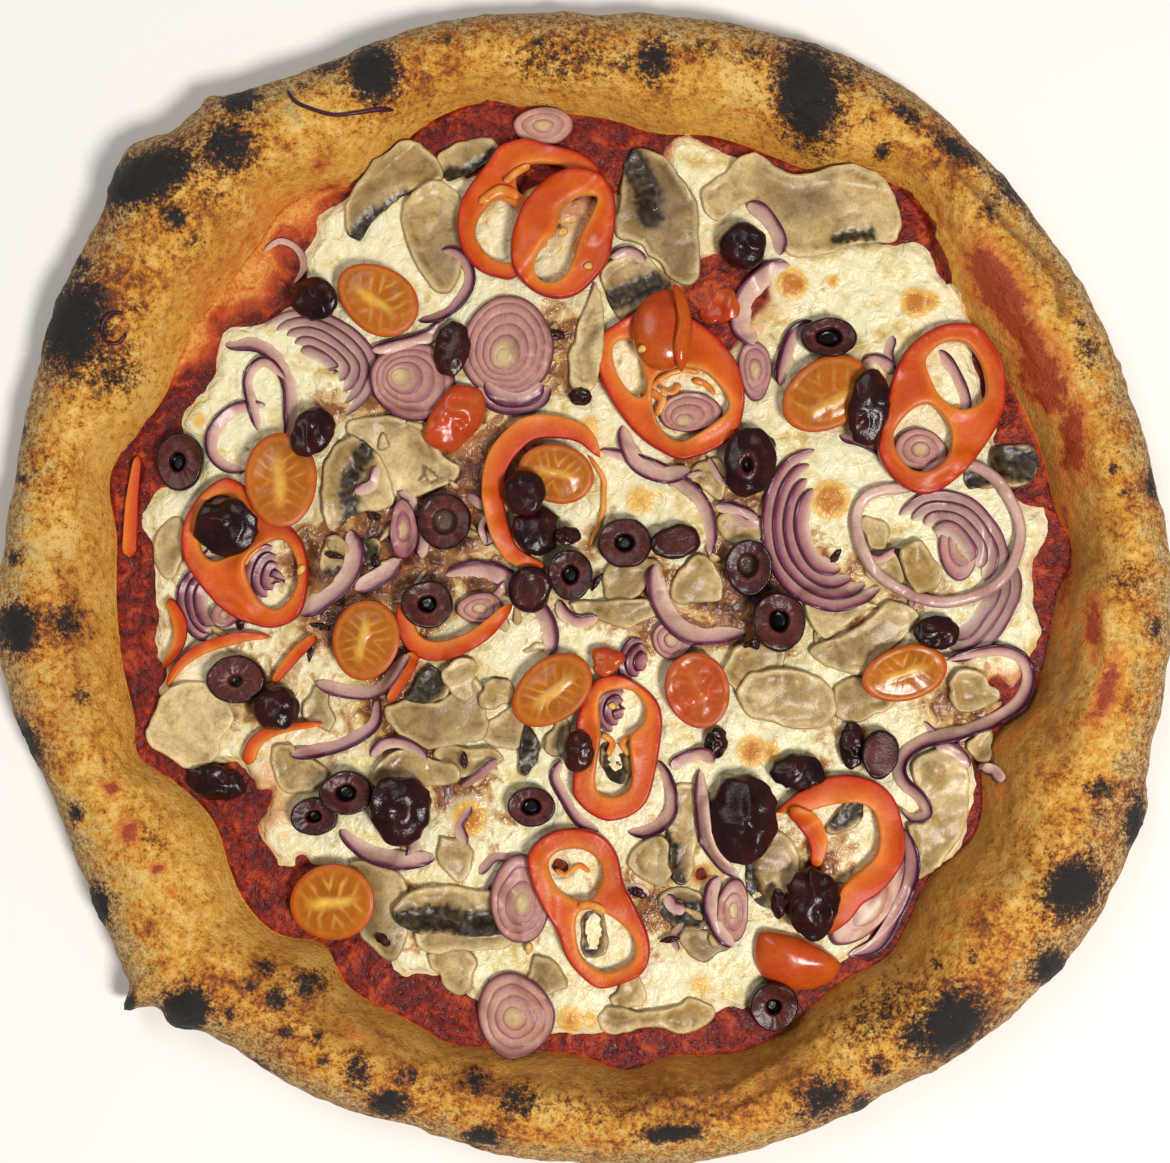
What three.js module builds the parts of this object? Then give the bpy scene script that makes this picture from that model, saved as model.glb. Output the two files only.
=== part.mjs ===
import * as THREE from 'three';

// A vegetarian pizza, whole and uncut, resting on Z = 0. Millimetres, +Z up, +Y towards the photograph's top.
// One dough solid with a puffed, uneven rim carries a sheet of tomato sauce and a sheet of melted mozzarella.
// Pepper rings, tomato halves, olive pieces, onion and mushroom slices are laid on it one after another,
// each one bent or tilted to lie on whatever is already below it.

// ---------------------------------------------------------------- driving dimensions
const MM_PER_PIXEL = 0.277;        // photograph scale at the level of the table
const EYE_HEIGHT = 700;            // viewpoint above the table
const PHOTO_CENTRE = { x: 584.5, y: 585.5 };
const TOPPING_LEVEL = 8;           // height at which the toppings' places are read

const OUTER_RADIUS = 158;          // rim at its widest, before its bulges
const FOOT_RADIUS = 128.7;         // inner foot of the rim, where the sauce ends
const CHEESE_RADIUS = 119.9;
const RIM_HEIGHT = 21;
const PUFF_HEIGHT = 0.7;           // of the rim's small rises and falls
const CREST_PLACE = 0.52;          // crest between inner foot and outer edge
const WIDEST_PLACE = 0.36;         // height of the widest line, as a part of the rim's height
const UNDERSIDE_PLACE = 0.3;       // edge of the flat underside between crest and outer edge
const BASE_THICKNESS = 3;
const SAUCE_THICKNESS = 1.3;
const CHEESE_THICKNESS = 1.6;
const GAP = 0.3;                   // clearance between pieces that lie on each other
const DIRECTIONS = 84;             // sides of the dough, the sauce and the cheese

const PEPPER_THICKNESS = 4.6;
const ONION_THICKNESS = 2.8;
const MUSHROOM_THICKNESS = 3;
const TOMATO_DEPTH = 7.2;            // of a half whose cut side is up
const TOMATO_BACK_DEPTH = 6.5;     // of a half whose skin is up

// How much of the surface's shape a piece takes on: 0 lies as a stiff plate, 1 drapes.
const STIFF = 0;
const FIRM = 0.2;
const BENDY = 0.8;
const LIMP = 0.9;

// Sides of each kind's outline.
const ROUND_SIDES = { pepper: 12, tomato: 10, tomatoBack: 11, olive: 8, onion: 13, mushroom: 13 };

// Bulges and dips around the pizza: direction in degrees, counter-clockwise from +X; width; height.
const OUTER_BULGES = [
  { at: 322, wide: 26, tall: 8.5 },
  { at: 135, wide: 9, tall: 11.5 },
  { at: 150, wide: 10, tall: 5 },
  { at: 122, wide: 7, tall: 2.2 },
  { at: 57, wide: 12, tall: 4 },
  { at: 222, wide: 7, tall: 6 },
  { at: 187, wide: 12, tall: 2.5 },
  { at: 88, wide: 6, tall: -1.5 },
  { at: 252, wide: 8, tall: -2.4 },
  { at: 200, wide: 5, tall: -2 },
  { at: 105, wide: 5, tall: 1.4 },
  { at: 283, wide: 8, tall: 2 },
  { at: 0, wide: 10, tall: 1.6 },
];

const FOOT_BULGES = [
  { at: 104, wide: 9, tall: 7 },
  { at: 81, wide: 5, tall: -2.8 },
  { at: 51, wide: 7, tall: 10.5 },
  { at: 15, wide: 10, tall: 2.2 },
  { at: 4, wide: 4, tall: 5 },
  { at: 338, wide: 7, tall: -10 },
  { at: 320, wide: 5, tall: -4.5 },
  { at: 309, wide: 4, tall: 2.8 },
  { at: 290, wide: 9, tall: 6.6 },
  { at: 275, wide: 4, tall: 4.4 },
  { at: 254, wide: 4, tall: 2.5 },
  { at: 234, wide: 4, tall: -6.6 },
  { at: 212, wide: 8, tall: -8 },
  { at: 201, wide: 3, tall: 3.3 },
  { at: 167, wide: 5, tall: 5 },
  { at: 155, wide: 5, tall: -2.2 },
  { at: 128, wide: 5, tall: 4.1 },
  { at: 118, wide: 4, tall: -2.8 },
];

const RIM_HEIGHT_BULGES = [
  { at: 135, wide: 12, tall: 4 },
  { at: 322, wide: 24, tall: 3.5 },
  { at: 225, wide: 12, tall: 2 },
  { at: 90, wide: 14, tall: -2 },
  { at: 256, wide: 9, tall: -1.5 },
  { at: 52, wide: 9, tall: -2 },
  { at: 182, wide: 10, tall: 1.5 },
];

const CHEESE_BULGES = [
  { at: 6, wide: 5, tall: 7.1 },
  { at: 15, wide: 4, tall: -2.8 },
  { at: 42, wide: 7, tall: 11.5 },
  { at: 56, wide: 5, tall: -6 },
  { at: 77, wide: 5, tall: 5.5 },
  { at: 103, wide: 12, tall: -4.4 },
  { at: 124, wide: 5, tall: 5.5 },
  { at: 135, wide: 4, tall: -9.3 },
  { at: 160, wide: 3, tall: -4.1 },
  { at: 172, wide: 4, tall: 2.8 },
  { at: 208, wide: 5, tall: -11.5 },
  { at: 227, wide: 5, tall: -15.4 },
  { at: 269, wide: 9, tall: 4.1 },
  { at: 310, wide: 16, tall: 4.1 },
  { at: 339, wide: 6, tall: -3.8 },
  { at: 353, wide: 7, tall: 5 },
];

// ---------------------------------------------------------------- looks
const FINISHES = {
  crust: { color: 0xc89a52, roughness: 0.85 },
  sauce: { color: 0x8f2a16, roughness: 0.35 },
  cheese: { color: 0xe9deba, roughness: 0.45 },
  pepper: { color: 0xc8401c, roughness: 0.3 },
  tomato: { color: 0xc8691c, roughness: 0.25 },
  olive: { color: 0x2f1a20, roughness: 0.35 },
  onion: { color: 0xb08a92, roughness: 0.35 },
  mushroom: { color: 0xb59a63, roughness: 0.6 },
};

function finishOf(kind) {
  const { color, roughness } = FINISHES[kind];
  return new THREE.MeshStandardMaterial({ color, roughness, metalness: 0 });
}

// ---------------------------------------------------------------- small helpers
const radians = THREE.MathUtils.degToRad;

function fromPhoto([x, y], level = TOPPING_LEVEL) {
  const scale = MM_PER_PIXEL * (1 - level / EYE_HEIGHT);
  return [(x - PHOTO_CENTRE.x) * scale, (PHOTO_CENTRE.y - y) * scale];
}

function bulge(degrees, list) {
  let total = 0;
  for (const { at, wide, tall } of list) {
    const away = ((degrees - at + 540) % 360) - 180;
    total += tall * Math.exp(-((away / wide) ** 2));
  }
  return total;
}

// Skins a row of rings that all have as many points. A row is either joined end to start, or shut by
// fans to the middle points given for its two ends.
function skin(rings, ends = null) {
  const count = rings[0].length;
  const positions = rings.flat(2);
  const faces = [];
  const steps = ends ? rings.length - 1 : rings.length;
  for (let k = 0; k < steps; k += 1) {
    const here = k * count;
    const there = ((k + 1) % rings.length) * count;
    for (let i = 0; i < count; i += 1) {
      const j = (i + 1) % count;
      faces.push([here + i, here + j, there + j], [here + i, there + j, there + i]);
    }
  }
  if (ends) {
    const first = rings.length * count;
    const last = first + 1;
    positions.push(...ends[0], ...ends[1]);
    const lastRing = (rings.length - 1) * count;
    for (let i = 0; i < count; i += 1) {
      const j = (i + 1) % count;
      faces.push([first, j, i], [last, lastRing + i, lastRing + j]);
    }
  }
  return facingOut(positions, faces);
}

function facingOut(positions, faces) {
  const corner = (i) => new THREE.Vector3(positions[3 * i], positions[3 * i + 1], positions[3 * i + 2]);
  let volume = 0;
  for (const [a, b, c] of faces) {
    volume += corner(a).dot(corner(b).cross(corner(c)));
  }
  const turned = volume < 0 ? faces.map(([a, b, c]) => [a, c, b]) : faces;
  const geometry = new THREE.BufferGeometry();
  geometry.setAttribute('position', new THREE.Float32BufferAttribute(positions, 3));
  geometry.setIndex(turned.flat());
  geometry.computeVertexNormals();
  return geometry;
}

function eachDirection(pointAt) {
  const ring = [];
  for (let i = 0; i < DIRECTIONS; i += 1) {
    const degrees = (360 * i) / DIRECTIONS;
    const [radius, height] = pointAt(degrees);
    ring.push([radius * Math.cos(radians(degrees)), radius * Math.sin(radians(degrees)), height]);
  }
  return ring;
}

// ---------------------------------------------------------------- dough, sauce and cheese
const outerRadius = (degrees) => OUTER_RADIUS + bulge(degrees, OUTER_BULGES);
const footRadius = (degrees) => FOOT_RADIUS + bulge(degrees, FOOT_BULGES);
const rimHeight = (degrees) => RIM_HEIGHT + bulge(degrees, RIM_HEIGHT_BULGES) + puffs(degrees);
const cheeseRadius = (degrees) => CHEESE_RADIUS + bulge(degrees, CHEESE_BULGES);

// Small rises and falls of the rim where the dough puffed up unevenly.
function puffs(degrees) {
  const angle = radians(degrees);
  return PUFF_HEIGHT * (Math.sin(9 * angle + 1) + 0.8 * Math.sin(14 * angle + 4) * Math.cos(3 * angle));
}

const UNDER_RING = 0.55;           // place of the underside's inner ring, as a part of the foot's radius
const FLOOR_RING = 0.5;            // place of the same ring on the upper side
const OUTER_ANGLES = [0, 30, 60, 90];
const INNER_PLACES = [0.35, 0.7, 0.9, 1];
const INNER_FALL = 0.8;            // how round the rim's inner slope is

// Half section of the dough in one direction, from under its middle, round the rim, to the middle's top.
function doughSection(degrees) {
  const outer = outerRadius(degrees);
  const foot = footRadius(degrees);
  const height = rimHeight(degrees);
  const crest = foot + CREST_PLACE * (outer - foot);
  const edge = crest + UNDERSIDE_PLACE * (outer - crest);
  const widest = WIDEST_PLACE * height;
  const section = [[foot * UNDER_RING, 0], [edge, 0]];
  section.push([edge + (outer - edge) * Math.SQRT1_2, widest * (1 - Math.SQRT1_2)]);
  for (const angle of OUTER_ANGLES) {
    const out = Math.cos(radians(angle));
    const up = Math.sin(radians(angle));
    section.push([crest + (outer - crest) * out, widest + (height - widest) * up]);
  }
  for (const inward of INNER_PLACES) {
    const fall = Math.max(0, Math.cos((Math.PI / 2) * inward)) ** INNER_FALL;
    section.push([crest - (crest - foot) * inward, BASE_THICKNESS + (height - BASE_THICKNESS) * fall]);
  }
  section.push([foot * FLOOR_RING, BASE_THICKNESS]);
  return section;
}

function crustGeometry() {
  const rings = [];
  const count = doughSection(0).length;
  for (let k = 0; k < count; k += 1) {
    rings.push(eachDirection((degrees) => doughSection(degrees)[k]));
  }
  return skin(rings, [[0, 0, 0], [0, 0, BASE_THICKNESS]]);
}

const CHEESE_SWELL = 0.35;         // rises and falls of the cheese's top
const EDGE_ROUNDING = { under: 0.6, over: 1.5 };
const SHEET_RINGS = { under: 0.5, outer: 0.8, inner: 0.4 };

// A flat-bottomed sheet with a rounded edge, its top a little uneven.
function sheetGeometry(radiusAt, bottom, thickness, swell) {
  const topRing = (part) => eachDirection((degrees) => {
    const angle = radians(degrees);
    const wave = Math.sin(5 * angle + 9 * part) * Math.cos(3 * angle - 4 * part);
    return [radiusAt(degrees) * part, bottom + thickness + swell * wave];
  });
  const rings = [
    eachDirection((degrees) => [radiusAt(degrees) * SHEET_RINGS.under, bottom]),
    eachDirection((degrees) => [radiusAt(degrees) - EDGE_ROUNDING.under, bottom]),
    eachDirection((degrees) => [radiusAt(degrees), bottom + 0.4 * thickness]),
    eachDirection((degrees) => [radiusAt(degrees) - EDGE_ROUNDING.over, bottom + 0.9 * thickness]),
    topRing(SHEET_RINGS.outer),
    topRing(SHEET_RINGS.inner),
  ];
  return skin(rings, [[0, 0, bottom], [0, 0, bottom + thickness]]);
}

function sauceGeometry() {
  const radiusAt = (degrees) => footRadius(degrees) - 2 * GAP;
  return sheetGeometry(radiusAt, BASE_THICKNESS + GAP, SAUCE_THICKNESS, 0);
}

function cheeseGeometry() {
  const bottom = BASE_THICKNESS + SAUCE_THICKNESS + 2 * GAP;
  return sheetGeometry(cheeseRadius, bottom, CHEESE_THICKNESS, CHEESE_SWELL);
}

// ---------------------------------------------------------------- one topping's own shape
// A closed outline that starts as an ellipse. egg fattens its right end, pinch draws in its waist, and
// bend moves its middle sideways; turn then swings it counter-clockwise about its place.
function outlinePoint(piece, angle, inset) {
  const { at, long, wide, turn = 0, egg = 0, pinch = 0, bend = 0 } = piece;
  const u = Math.cos(angle);
  const v = Math.sin(angle);
  const along = (long / 2 - inset) * u;
  const waist = (1 + egg * u) * (1 - pinch * (1 - u * u));
  const across = (wide / 2 - inset) * v * waist + bend * (0.5 - u * u);
  const [x, y] = fromPhoto(at);
  const c = Math.cos(radians(turn));
  const s = Math.sin(radians(turn));
  return [x + c * along - s * across, y + s * along + c * across];
}

function outlineRing(piece, inset, height, sides) {
  const ring = [];
  for (let i = 0; i < sides; i += 1) {
    ring.push([...outlinePoint(piece, (2 * Math.PI * i) / sides, inset), height]);
  }
  return ring;
}

// The wall of a ring, from outside over its top to inside: [inward, up] as parts of its width and height.
const RING_WALL = [[0.12, 0], [0, 0.5], [0.35, 1], [0.8, 0.95], [1, 0.4], [0.9, 0]];

// A ring with a hole: a wall of even width that follows the outline, rounded on top.
function hollowRing(piece, thickness, sides) {
  const { wall } = piece;
  return skin(RING_WALL.map(([inward, up]) => outlineRing(piece, inward * wall, up * thickness, sides)));
}

// A solid piece whose section is a list of [inward, up] pairs, as parts of half its width and its thickness.
function solidPiece(piece, section, thickness, sides) {
  const half = piece.wide / 2;
  const rings = section.map(([inward, up]) => outlineRing(piece, inward * half, up * thickness, sides));
  const [x, y] = fromPhoto(piece.at);
  const sideways = (piece.bend ?? 0) / 2;
  const turn = radians(piece.turn ?? 0);
  const middle = [x - Math.sin(turn) * sideways, y + Math.cos(turn) * sideways];
  return skin(rings, [[...middle, section[0][1] * thickness], [...middle, section.at(-1)[1] * thickness]]);
}

// A strip's section: [out, up] as parts of its width and thickness; its ends are this part of its width.
const STRIP_SECTION = [[-0.42, 0], [-0.5, 0.5], [-0.25, 1], [0.25, 1], [0.5, 0.5], [0.42, 0]];
const STRIP_END = 0.55;

// A strip that follows a smooth line through a few places, tapered at its ends.
function strip(piece, thickness, steps) {
  const points = piece.path.map((place) => new THREE.Vector3(...fromPhoto(place), 0));
  const line = new THREE.CatmullRomCurve3(points, false, 'centripetal');
  const rings = [];
  for (let k = 0; k <= steps; k += 1) {
    const part = k / steps;
    const centre = line.getPointAt(part);
    const side = line.getTangentAt(part).cross(new THREE.Vector3(0, 0, 1));
    const width = piece.wide * (STRIP_END + (1 - STRIP_END) * Math.sin(Math.PI * part) ** 0.5);
    rings.push(STRIP_SECTION.map(([out, up]) => {
      const place = centre.clone().addScaledVector(side, out * width);
      return [place.x, place.y, up * thickness];
    }));
  }
  const middleOf = (ring) => [(ring[0][0] + ring[5][0]) / 2, (ring[0][1] + ring[5][1]) / 2, thickness / 2];
  return skin(rings, [middleOf(rings[0]), middleOf(rings.at(-1))]);
}

// ---------------------------------------------------------------- the surface that toppings lie on
// Heights of what is already there, on a fine square grid about the middle.
const CELL = 0.5;
const GRID_SIDE = 720;
const CELLS_AROUND = [-1, 0, 1];
const FLAT_ENOUGH = 1e-9;          // plan area, in cells, below which a triangle stands upright
const STEEPEST = 0.2;              // steepest tilt of a stiff piece
const surface = new Float32Array(GRID_SIDE * GRID_SIDE);

function eachCellUnder(geometry, visit) {
  const position = geometry.getAttribute('position');
  const index = geometry.getIndex();
  const toGrid = (value) => value / CELL + GRID_SIDE / 2;
  for (let f = 0; f < index.count; f += 3) {
    const [a, b, c] = [0, 1, 2].map((k) => {
      const i = index.getX(f + k);
      return [toGrid(position.getX(i)), toGrid(position.getY(i)), position.getZ(i)];
    });
    const area = (b[0] - a[0]) * (c[1] - a[1]) - (c[0] - a[0]) * (b[1] - a[1]);
    if (Math.abs(area) < FLAT_ENOUGH) continue;
    const lowX = Math.ceil(Math.min(a[0], b[0], c[0]));
    const highX = Math.floor(Math.max(a[0], b[0], c[0]));
    const lowY = Math.ceil(Math.min(a[1], b[1], c[1]));
    const highY = Math.floor(Math.max(a[1], b[1], c[1]));
    for (let y = lowY; y <= highY; y += 1) {
      for (let x = lowX; x <= highX; x += 1) {
        const p = ((x - a[0]) * (c[1] - a[1]) - (c[0] - a[0]) * (y - a[1])) / area;
        const q = ((b[0] - a[0]) * (y - a[1]) - (x - a[0]) * (b[1] - a[1])) / area;
        if (p >= 0 && q >= 0 && p + q <= 1) {
          visit(x, y, a[2] + p * (b[2] - a[2]) + q * (c[2] - a[2]));
        }
      }
    }
  }
}

function addToSurface(geometry) {
  eachCellUnder(geometry, (x, y, height) => {
    const cell = y * GRID_SIDE + x;
    surface[cell] = Math.max(surface[cell], height);
  });
}

function highestAround(x, y) {
  let highest = 0;
  for (const dy of CELLS_AROUND) {
    for (const dx of CELLS_AROUND) {
      highest = Math.max(highest, surface[(y + dy) * GRID_SIDE + x + dx]);
    }
  }
  return highest;
}

// What a piece feels under one of its points: the surface, evened out over its bendiness.
const REACHES = [0, 1.5, 3, 4.5];
const WAYS = 8;

function supportUnder(x, y) {
  let total = 0;
  let count = 0;
  for (const reach of REACHES) {
    for (let k = 0; k < WAYS; k += 1) {
      const angle = (2 * Math.PI * k) / WAYS;
      const column = Math.round((x + reach * Math.cos(angle)) / CELL + GRID_SIDE / 2);
      const row = Math.round((y + reach * Math.sin(angle)) / CELL + GRID_SIDE / 2);
      total += highestAround(column, row);
      count += 1;
    }
  }
  return total / count;
}

// Least-squares plane z = a x + b y + c through points, about their middle.
function planeThrough(points) {
  const middle = points.reduce((sum, p) => sum.map((value, i) => value + p[i] / points.length), [0, 0, 0]);
  let [xx, xy, yy, xz, yz] = [0, 0, 0, 0, 0];
  for (const [x, y, z] of points) {
    const [dx, dy, dz] = [x - middle[0], y - middle[1], z - middle[2]];
    xx += dx * dx;
    xy += dx * dy;
    yy += dy * dy;
    xz += dx * dz;
    yz += dy * dz;
  }
  const determinant = xx * yy - xy * xy;
  const a = (xz * yy - yz * xy) / determinant;
  const b = (yz * xx - xz * xy) / determinant;
  const steep = Math.min(1, STEEPEST / Math.max(1e-6, Math.hypot(a, b)));
  return (x, y) => middle[2] + steep * (a * (x - middle[0]) + b * (y - middle[1]));
}

// Lays a piece, whose underside is at zero, on the surface. A soft piece bends with the surface, a stiff
// one tilts; then it is moved straight up or down until its nearest point keeps the gap.
function lay(geometry, bendy) {
  const position = geometry.getAttribute('position');
  const feet = [];
  for (let i = 0; i < position.count; i += 1) {
    const [x, y] = [position.getX(i), position.getY(i)];
    feet.push([x, y, supportUnder(x, y)]);
  }
  const plane = planeThrough(feet);
  for (let i = 0; i < position.count; i += 1) {
    const [x, y, support] = feet[i];
    position.setZ(i, position.getZ(i) + bendy * support + (1 - bendy) * plane(x, y));
  }
  const underside = new Map();
  eachCellUnder(geometry, (x, y, height) => {
    const cell = y * GRID_SIDE + x;
    underside.set(cell, Math.min(height, underside.get(cell) ?? Infinity));
  });
  let rise = -Infinity;
  for (const [cell, height] of underside) {
    const x = cell % GRID_SIDE;
    const y = (cell - x) / GRID_SIDE;
    rise = Math.max(rise, highestAround(x, y) - height);
  }
  for (let i = 0; i < position.count; i += 1) {
    position.setZ(i, position.getZ(i) + rise + GAP);
  }
  geometry.computeVertexNormals();
}

// ---------------------------------------------------------------- the kinds of topping
// Sections from the underside's edge to the top: [inward, up], as parts of half the width and the thickness.
const SLAB = [[0.12, 0], [0, 0.5], [0.14, 1]];
const CUT_ONION = [[0.06, 0], [0, 0.55], [0.08, 1], [0.5, 0.85]];
const CUT_TOMATO = [[0.5, 0], [0.16, 0.3], [0, 0.75], [0.03, 1], [0.2, 0.94]];
const TOMATO_BACK = [[0.06, 0], [0, 0.25], [0.2, 0.75], [0.55, 1]];
const WHOLE_OLIVE = [[0.45, 0], [0.08, 0.25], [0, 0.5], [0.15, 0.85], [0.5, 1]];

const solidKind = (finish, bendy, section, thickness, sides) => ({
  finish,
  bendy,
  shape: (piece) => solidPiece(piece, section, thickness ?? piece.tall, sides),
});
const ringKind = (finish, bendy, thickness, sides) => ({
  finish,
  bendy,
  shape: (piece) => hollowRing(piece, thickness ?? piece.tall, sides),
});
const stripKind = (finish, bendy, thickness) => ({
  finish,
  bendy,
  shape: (piece) => strip(piece, thickness, piece.steps),
});

const KINDS = {
  pepper_ring: ringKind('pepper', BENDY, PEPPER_THICKNESS, ROUND_SIDES.pepper),
  pepper_strip: stripKind('pepper', BENDY, PEPPER_THICKNESS),
  tomato_half: solidKind('tomato', STIFF, CUT_TOMATO, TOMATO_DEPTH, ROUND_SIDES.tomato),
  tomato_back: solidKind('tomato', FIRM, TOMATO_BACK, TOMATO_BACK_DEPTH, ROUND_SIDES.tomatoBack),
  olive_slice: ringKind('olive', FIRM, undefined, ROUND_SIDES.olive),
  olive: solidKind('olive', FIRM, WHOLE_OLIVE, undefined, ROUND_SIDES.olive),
  onion_slice: solidKind('onion', BENDY, CUT_ONION, ONION_THICKNESS, ROUND_SIDES.onion),
  onion_loop: ringKind('onion', LIMP, ONION_THICKNESS, ROUND_SIDES.onion),
  onion_strip: stripKind('onion', LIMP, ONION_THICKNESS),
  mushroom: solidKind('mushroom', BENDY, SLAB, MUSHROOM_THICKNESS, ROUND_SIDES.mushroom),
};

// Every topping in the order it is laid. at and path are pixels of the photograph, the rest are
// millimetres and degrees.
const TOPPINGS = [
  { kind: 'mushroom', at: [808, 210], long: 50, wide: 17, bend: 5, turn: -8 },
  { kind: 'mushroom', at: [186, 727], long: 24, wide: 22, turn: 60 },
  { kind: 'mushroom', at: [792, 699], long: 23, wide: 17, turn: 10, bend: -2 },
  { kind: 'mushroom', at: [944, 817], long: 34, wide: 16, turn: 82, bend: -3 },
  { kind: 'mushroom', at: [443, 918], long: 28, wide: 16, egg: 0.08 },
  { kind: 'mushroom', at: [435, 712], long: 27, wide: 24, turn: 20, egg: 0.1 },
  { kind: 'onion_slice', at: [414, 381], long: 23, wide: 22, turn: 30 },
  { kind: 'onion_slice', at: [508, 349], long: 28, wide: 25, turn: 100 },
  { kind: 'onion_slice', at: [514, 1012], long: 22.5, wide: 20, turn: 115 },
  { kind: 'onion_slice', at: [522, 899], long: 24, wide: 17, turn: 110 },
  {
    kind: 'onion_strip', wide: 8, steps: 9,
    path: [[818, 462], [788, 487], [780, 530], [798, 572], [834, 590], [862, 588]],
  },
  { kind: 'onion_loop', at: [937, 537], long: 47, wide: 36, turn: 12, wall: 3.4 },
  { kind: 'onion_strip', wide: 7, steps: 6, path: [[906, 848], [904, 890], [880, 928], [848, 947]] },
  {
    kind: 'onion_strip', wide: 3.2, steps: 13,
    path: [[950, 664], [1004, 652], [1026, 675], [1002, 714], [935, 741], [903, 768], [922, 800], [905, 810]],
  },
  { kind: 'pepper_ring', at: [522, 211], long: 42, wide: 27, turn: 55, wall: 6.6, egg: -0.08 },
  { kind: 'pepper_ring', at: [565, 236], long: 37, wide: 26, turn: 68, wall: 6.2 },
  { kind: 'pepper_ring', at: [670, 389], long: 45, wide: 32, turn: -38, wall: 5.8 },
  { kind: 'pepper_ring', at: [941, 408], long: 48, wide: 31, turn: 66, wall: 6.4, pinch: 0.1 },
  { kind: 'pepper_ring', at: [246, 555], long: 44, wide: 27, turn: -54, wall: 5 },
  { kind: 'pepper_ring', at: [615, 748], long: 41, wide: 25, turn: 82, wall: 5.8 },
  { kind: 'pepper_ring', at: [589, 907], long: 44, wide: 27, turn: -70, wall: 6.6, pinch: 0.1 },
  {
    kind: 'pepper_strip', wide: 4.4, steps: 12,
    path: [[596, 452], [548, 424], [500, 456], [490, 508], [510, 554], [542, 564]],
  },
  {
    kind: 'pepper_strip', wide: 7, steps: 12,
    path: [[782, 813], [850, 792], [890, 832], [862, 884], [832, 932]],
  },
  { kind: 'pepper_strip', wide: 4.6, steps: 8, path: [[404, 604], [414, 646], [460, 652], [508, 610]] },
  { kind: 'pepper_strip', wide: 3.4, steps: 3, path: [[414, 657], [390, 698]] },
  { kind: 'pepper_strip', wide: 3.4, steps: 5, path: [[170, 668], [212, 642], [268, 637]] },
  { kind: 'tomato_half', at: [378, 300], long: 23, wide: 18.5, turn: -35 },
  { kind: 'tomato_half', at: [283, 480], long: 25, wide: 19.5, turn: 92 },
  { kind: 'tomato_half', at: [367, 640], long: 22, wide: 18.5, turn: 90 },
  { kind: 'tomato_half', at: [552, 690], long: 24, wide: 17.5, turn: 38 },
  { kind: 'tomato_half', at: [825, 395], long: 26, wide: 19.5, turn: 32 },
  { kind: 'tomato_half', at: [903, 672], long: 24, wide: 15.5, turn: 12 },
  { kind: 'tomato_half', at: [333, 901], long: 23, wide: 20.5, turn: 10 },
  { kind: 'tomato_half', at: [697, 691], long: 20, wide: 18, turn: 100 },
  { kind: 'tomato_half', at: [553, 474], long: 20, wide: 15.5, turn: 20 },
  { kind: 'tomato_back', at: [798, 958], long: 23.5, wide: 15.5, turn: -22 },
  { kind: 'tomato_back', at: [455, 420], long: 19, wide: 16.5, turn: 100 },
  { kind: 'tomato_back', at: [655, 331], long: 20.5, wide: 15.5, turn: 70 },
  { kind: 'olive', at: [315, 300], long: 12.6, wide: 11.4, tall: 8, turn: 20 },
  { kind: 'olive_slice', at: [180, 462], long: 15.5, wide: 12.6, tall: 6.5, turn: 100, wall: 4.4 },
  { kind: 'olive', at: [229, 527], long: 16.5, wide: 14.5, tall: 8, turn: 25 },
  { kind: 'olive_slice', at: [237, 676], long: 15.2, wide: 14.2, tall: 6, wall: 5.2 },
  { kind: 'olive', at: [277, 708], long: 12, wide: 11.6, tall: 8.5 },
  { kind: 'olive', at: [742, 247], long: 12.6, wide: 12, tall: 9 },
  { kind: 'olive_slice', at: [828, 337], long: 15, wide: 10.6, tall: 5.5, wall: 4 },
  { kind: 'olive', at: [748, 463], long: 17.5, wide: 13, tall: 8, turn: 100 },
  { kind: 'olive_slice', at: [445, 521], long: 15, wide: 14, tall: 5.5, wall: 5, turn: 60 },
  { kind: 'olive', at: [537, 529], long: 13.5, wide: 12, tall: 8.5, turn: 60 },
  { kind: 'olive_slice', at: [624, 543], long: 14.5, wide: 13.4, tall: 6, wall: 4.6 },
  { kind: 'olive_slice', at: [748, 568], long: 15, wide: 12.6, tall: 6, turn: 80, wall: 4.4 },
  { kind: 'olive_slice', at: [778, 620], long: 15.6, wide: 13.8, tall: 6, turn: 70, wall: 5 },
  { kind: 'olive_slice', at: [428, 602], long: 13.6, wide: 12.6, tall: 6.5, wall: 4.6 },
  { kind: 'olive', at: [400, 809], long: 17.4, wide: 15, tall: 8.5 },
  { kind: 'olive', at: [742, 821], long: 21.5, wide: 17, tall: 10, turn: 80 },
  { kind: 'olive', at: [811, 903], long: 18.5, wide: 13.5, tall: 9, turn: 110 },
  { kind: 'olive_slice', at: [771, 1006], long: 13.4, wide: 11.4, tall: 8, turn: 95, wall: 4 },
  { kind: 'olive', at: [797, 771], long: 14, wide: 8.6, tall: 6.5 },
];

// ---------------------------------------------------------------- the pizza
const pizza = new THREE.Group();

function addMesh(name, geometry, finish) {
  const mesh = new THREE.Mesh(geometry, finishOf(finish));
  mesh.name = name;
  pizza.add(mesh);
  addToSurface(geometry);
  return mesh;
}

function addToppings() {
  const counts = {};
  for (const piece of TOPPINGS) {
    const kind = KINDS[piece.kind];
    const geometry = kind.shape(piece);
    lay(geometry, kind.bendy);
    counts[piece.kind] = (counts[piece.kind] ?? 0) + 1;
    addMesh(`${piece.kind}_${counts[piece.kind]}`, geometry, kind.finish);
  }
}

// The origin is under the middle of the whole pizza's box.
function centreOnOrigin() {
  const box = new THREE.Box3().setFromObject(pizza);
  const middle = box.getCenter(new THREE.Vector3());
  pizza.position.set(-middle.x, -middle.y, 0);
}

addMesh('crust', crustGeometry(), 'crust');
addMesh('tomato_sauce', sauceGeometry(), 'sauce');
addMesh('mozzarella', cheeseGeometry(), 'cheese');
addToppings();
centreOnOrigin();

export default pizza;
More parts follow.
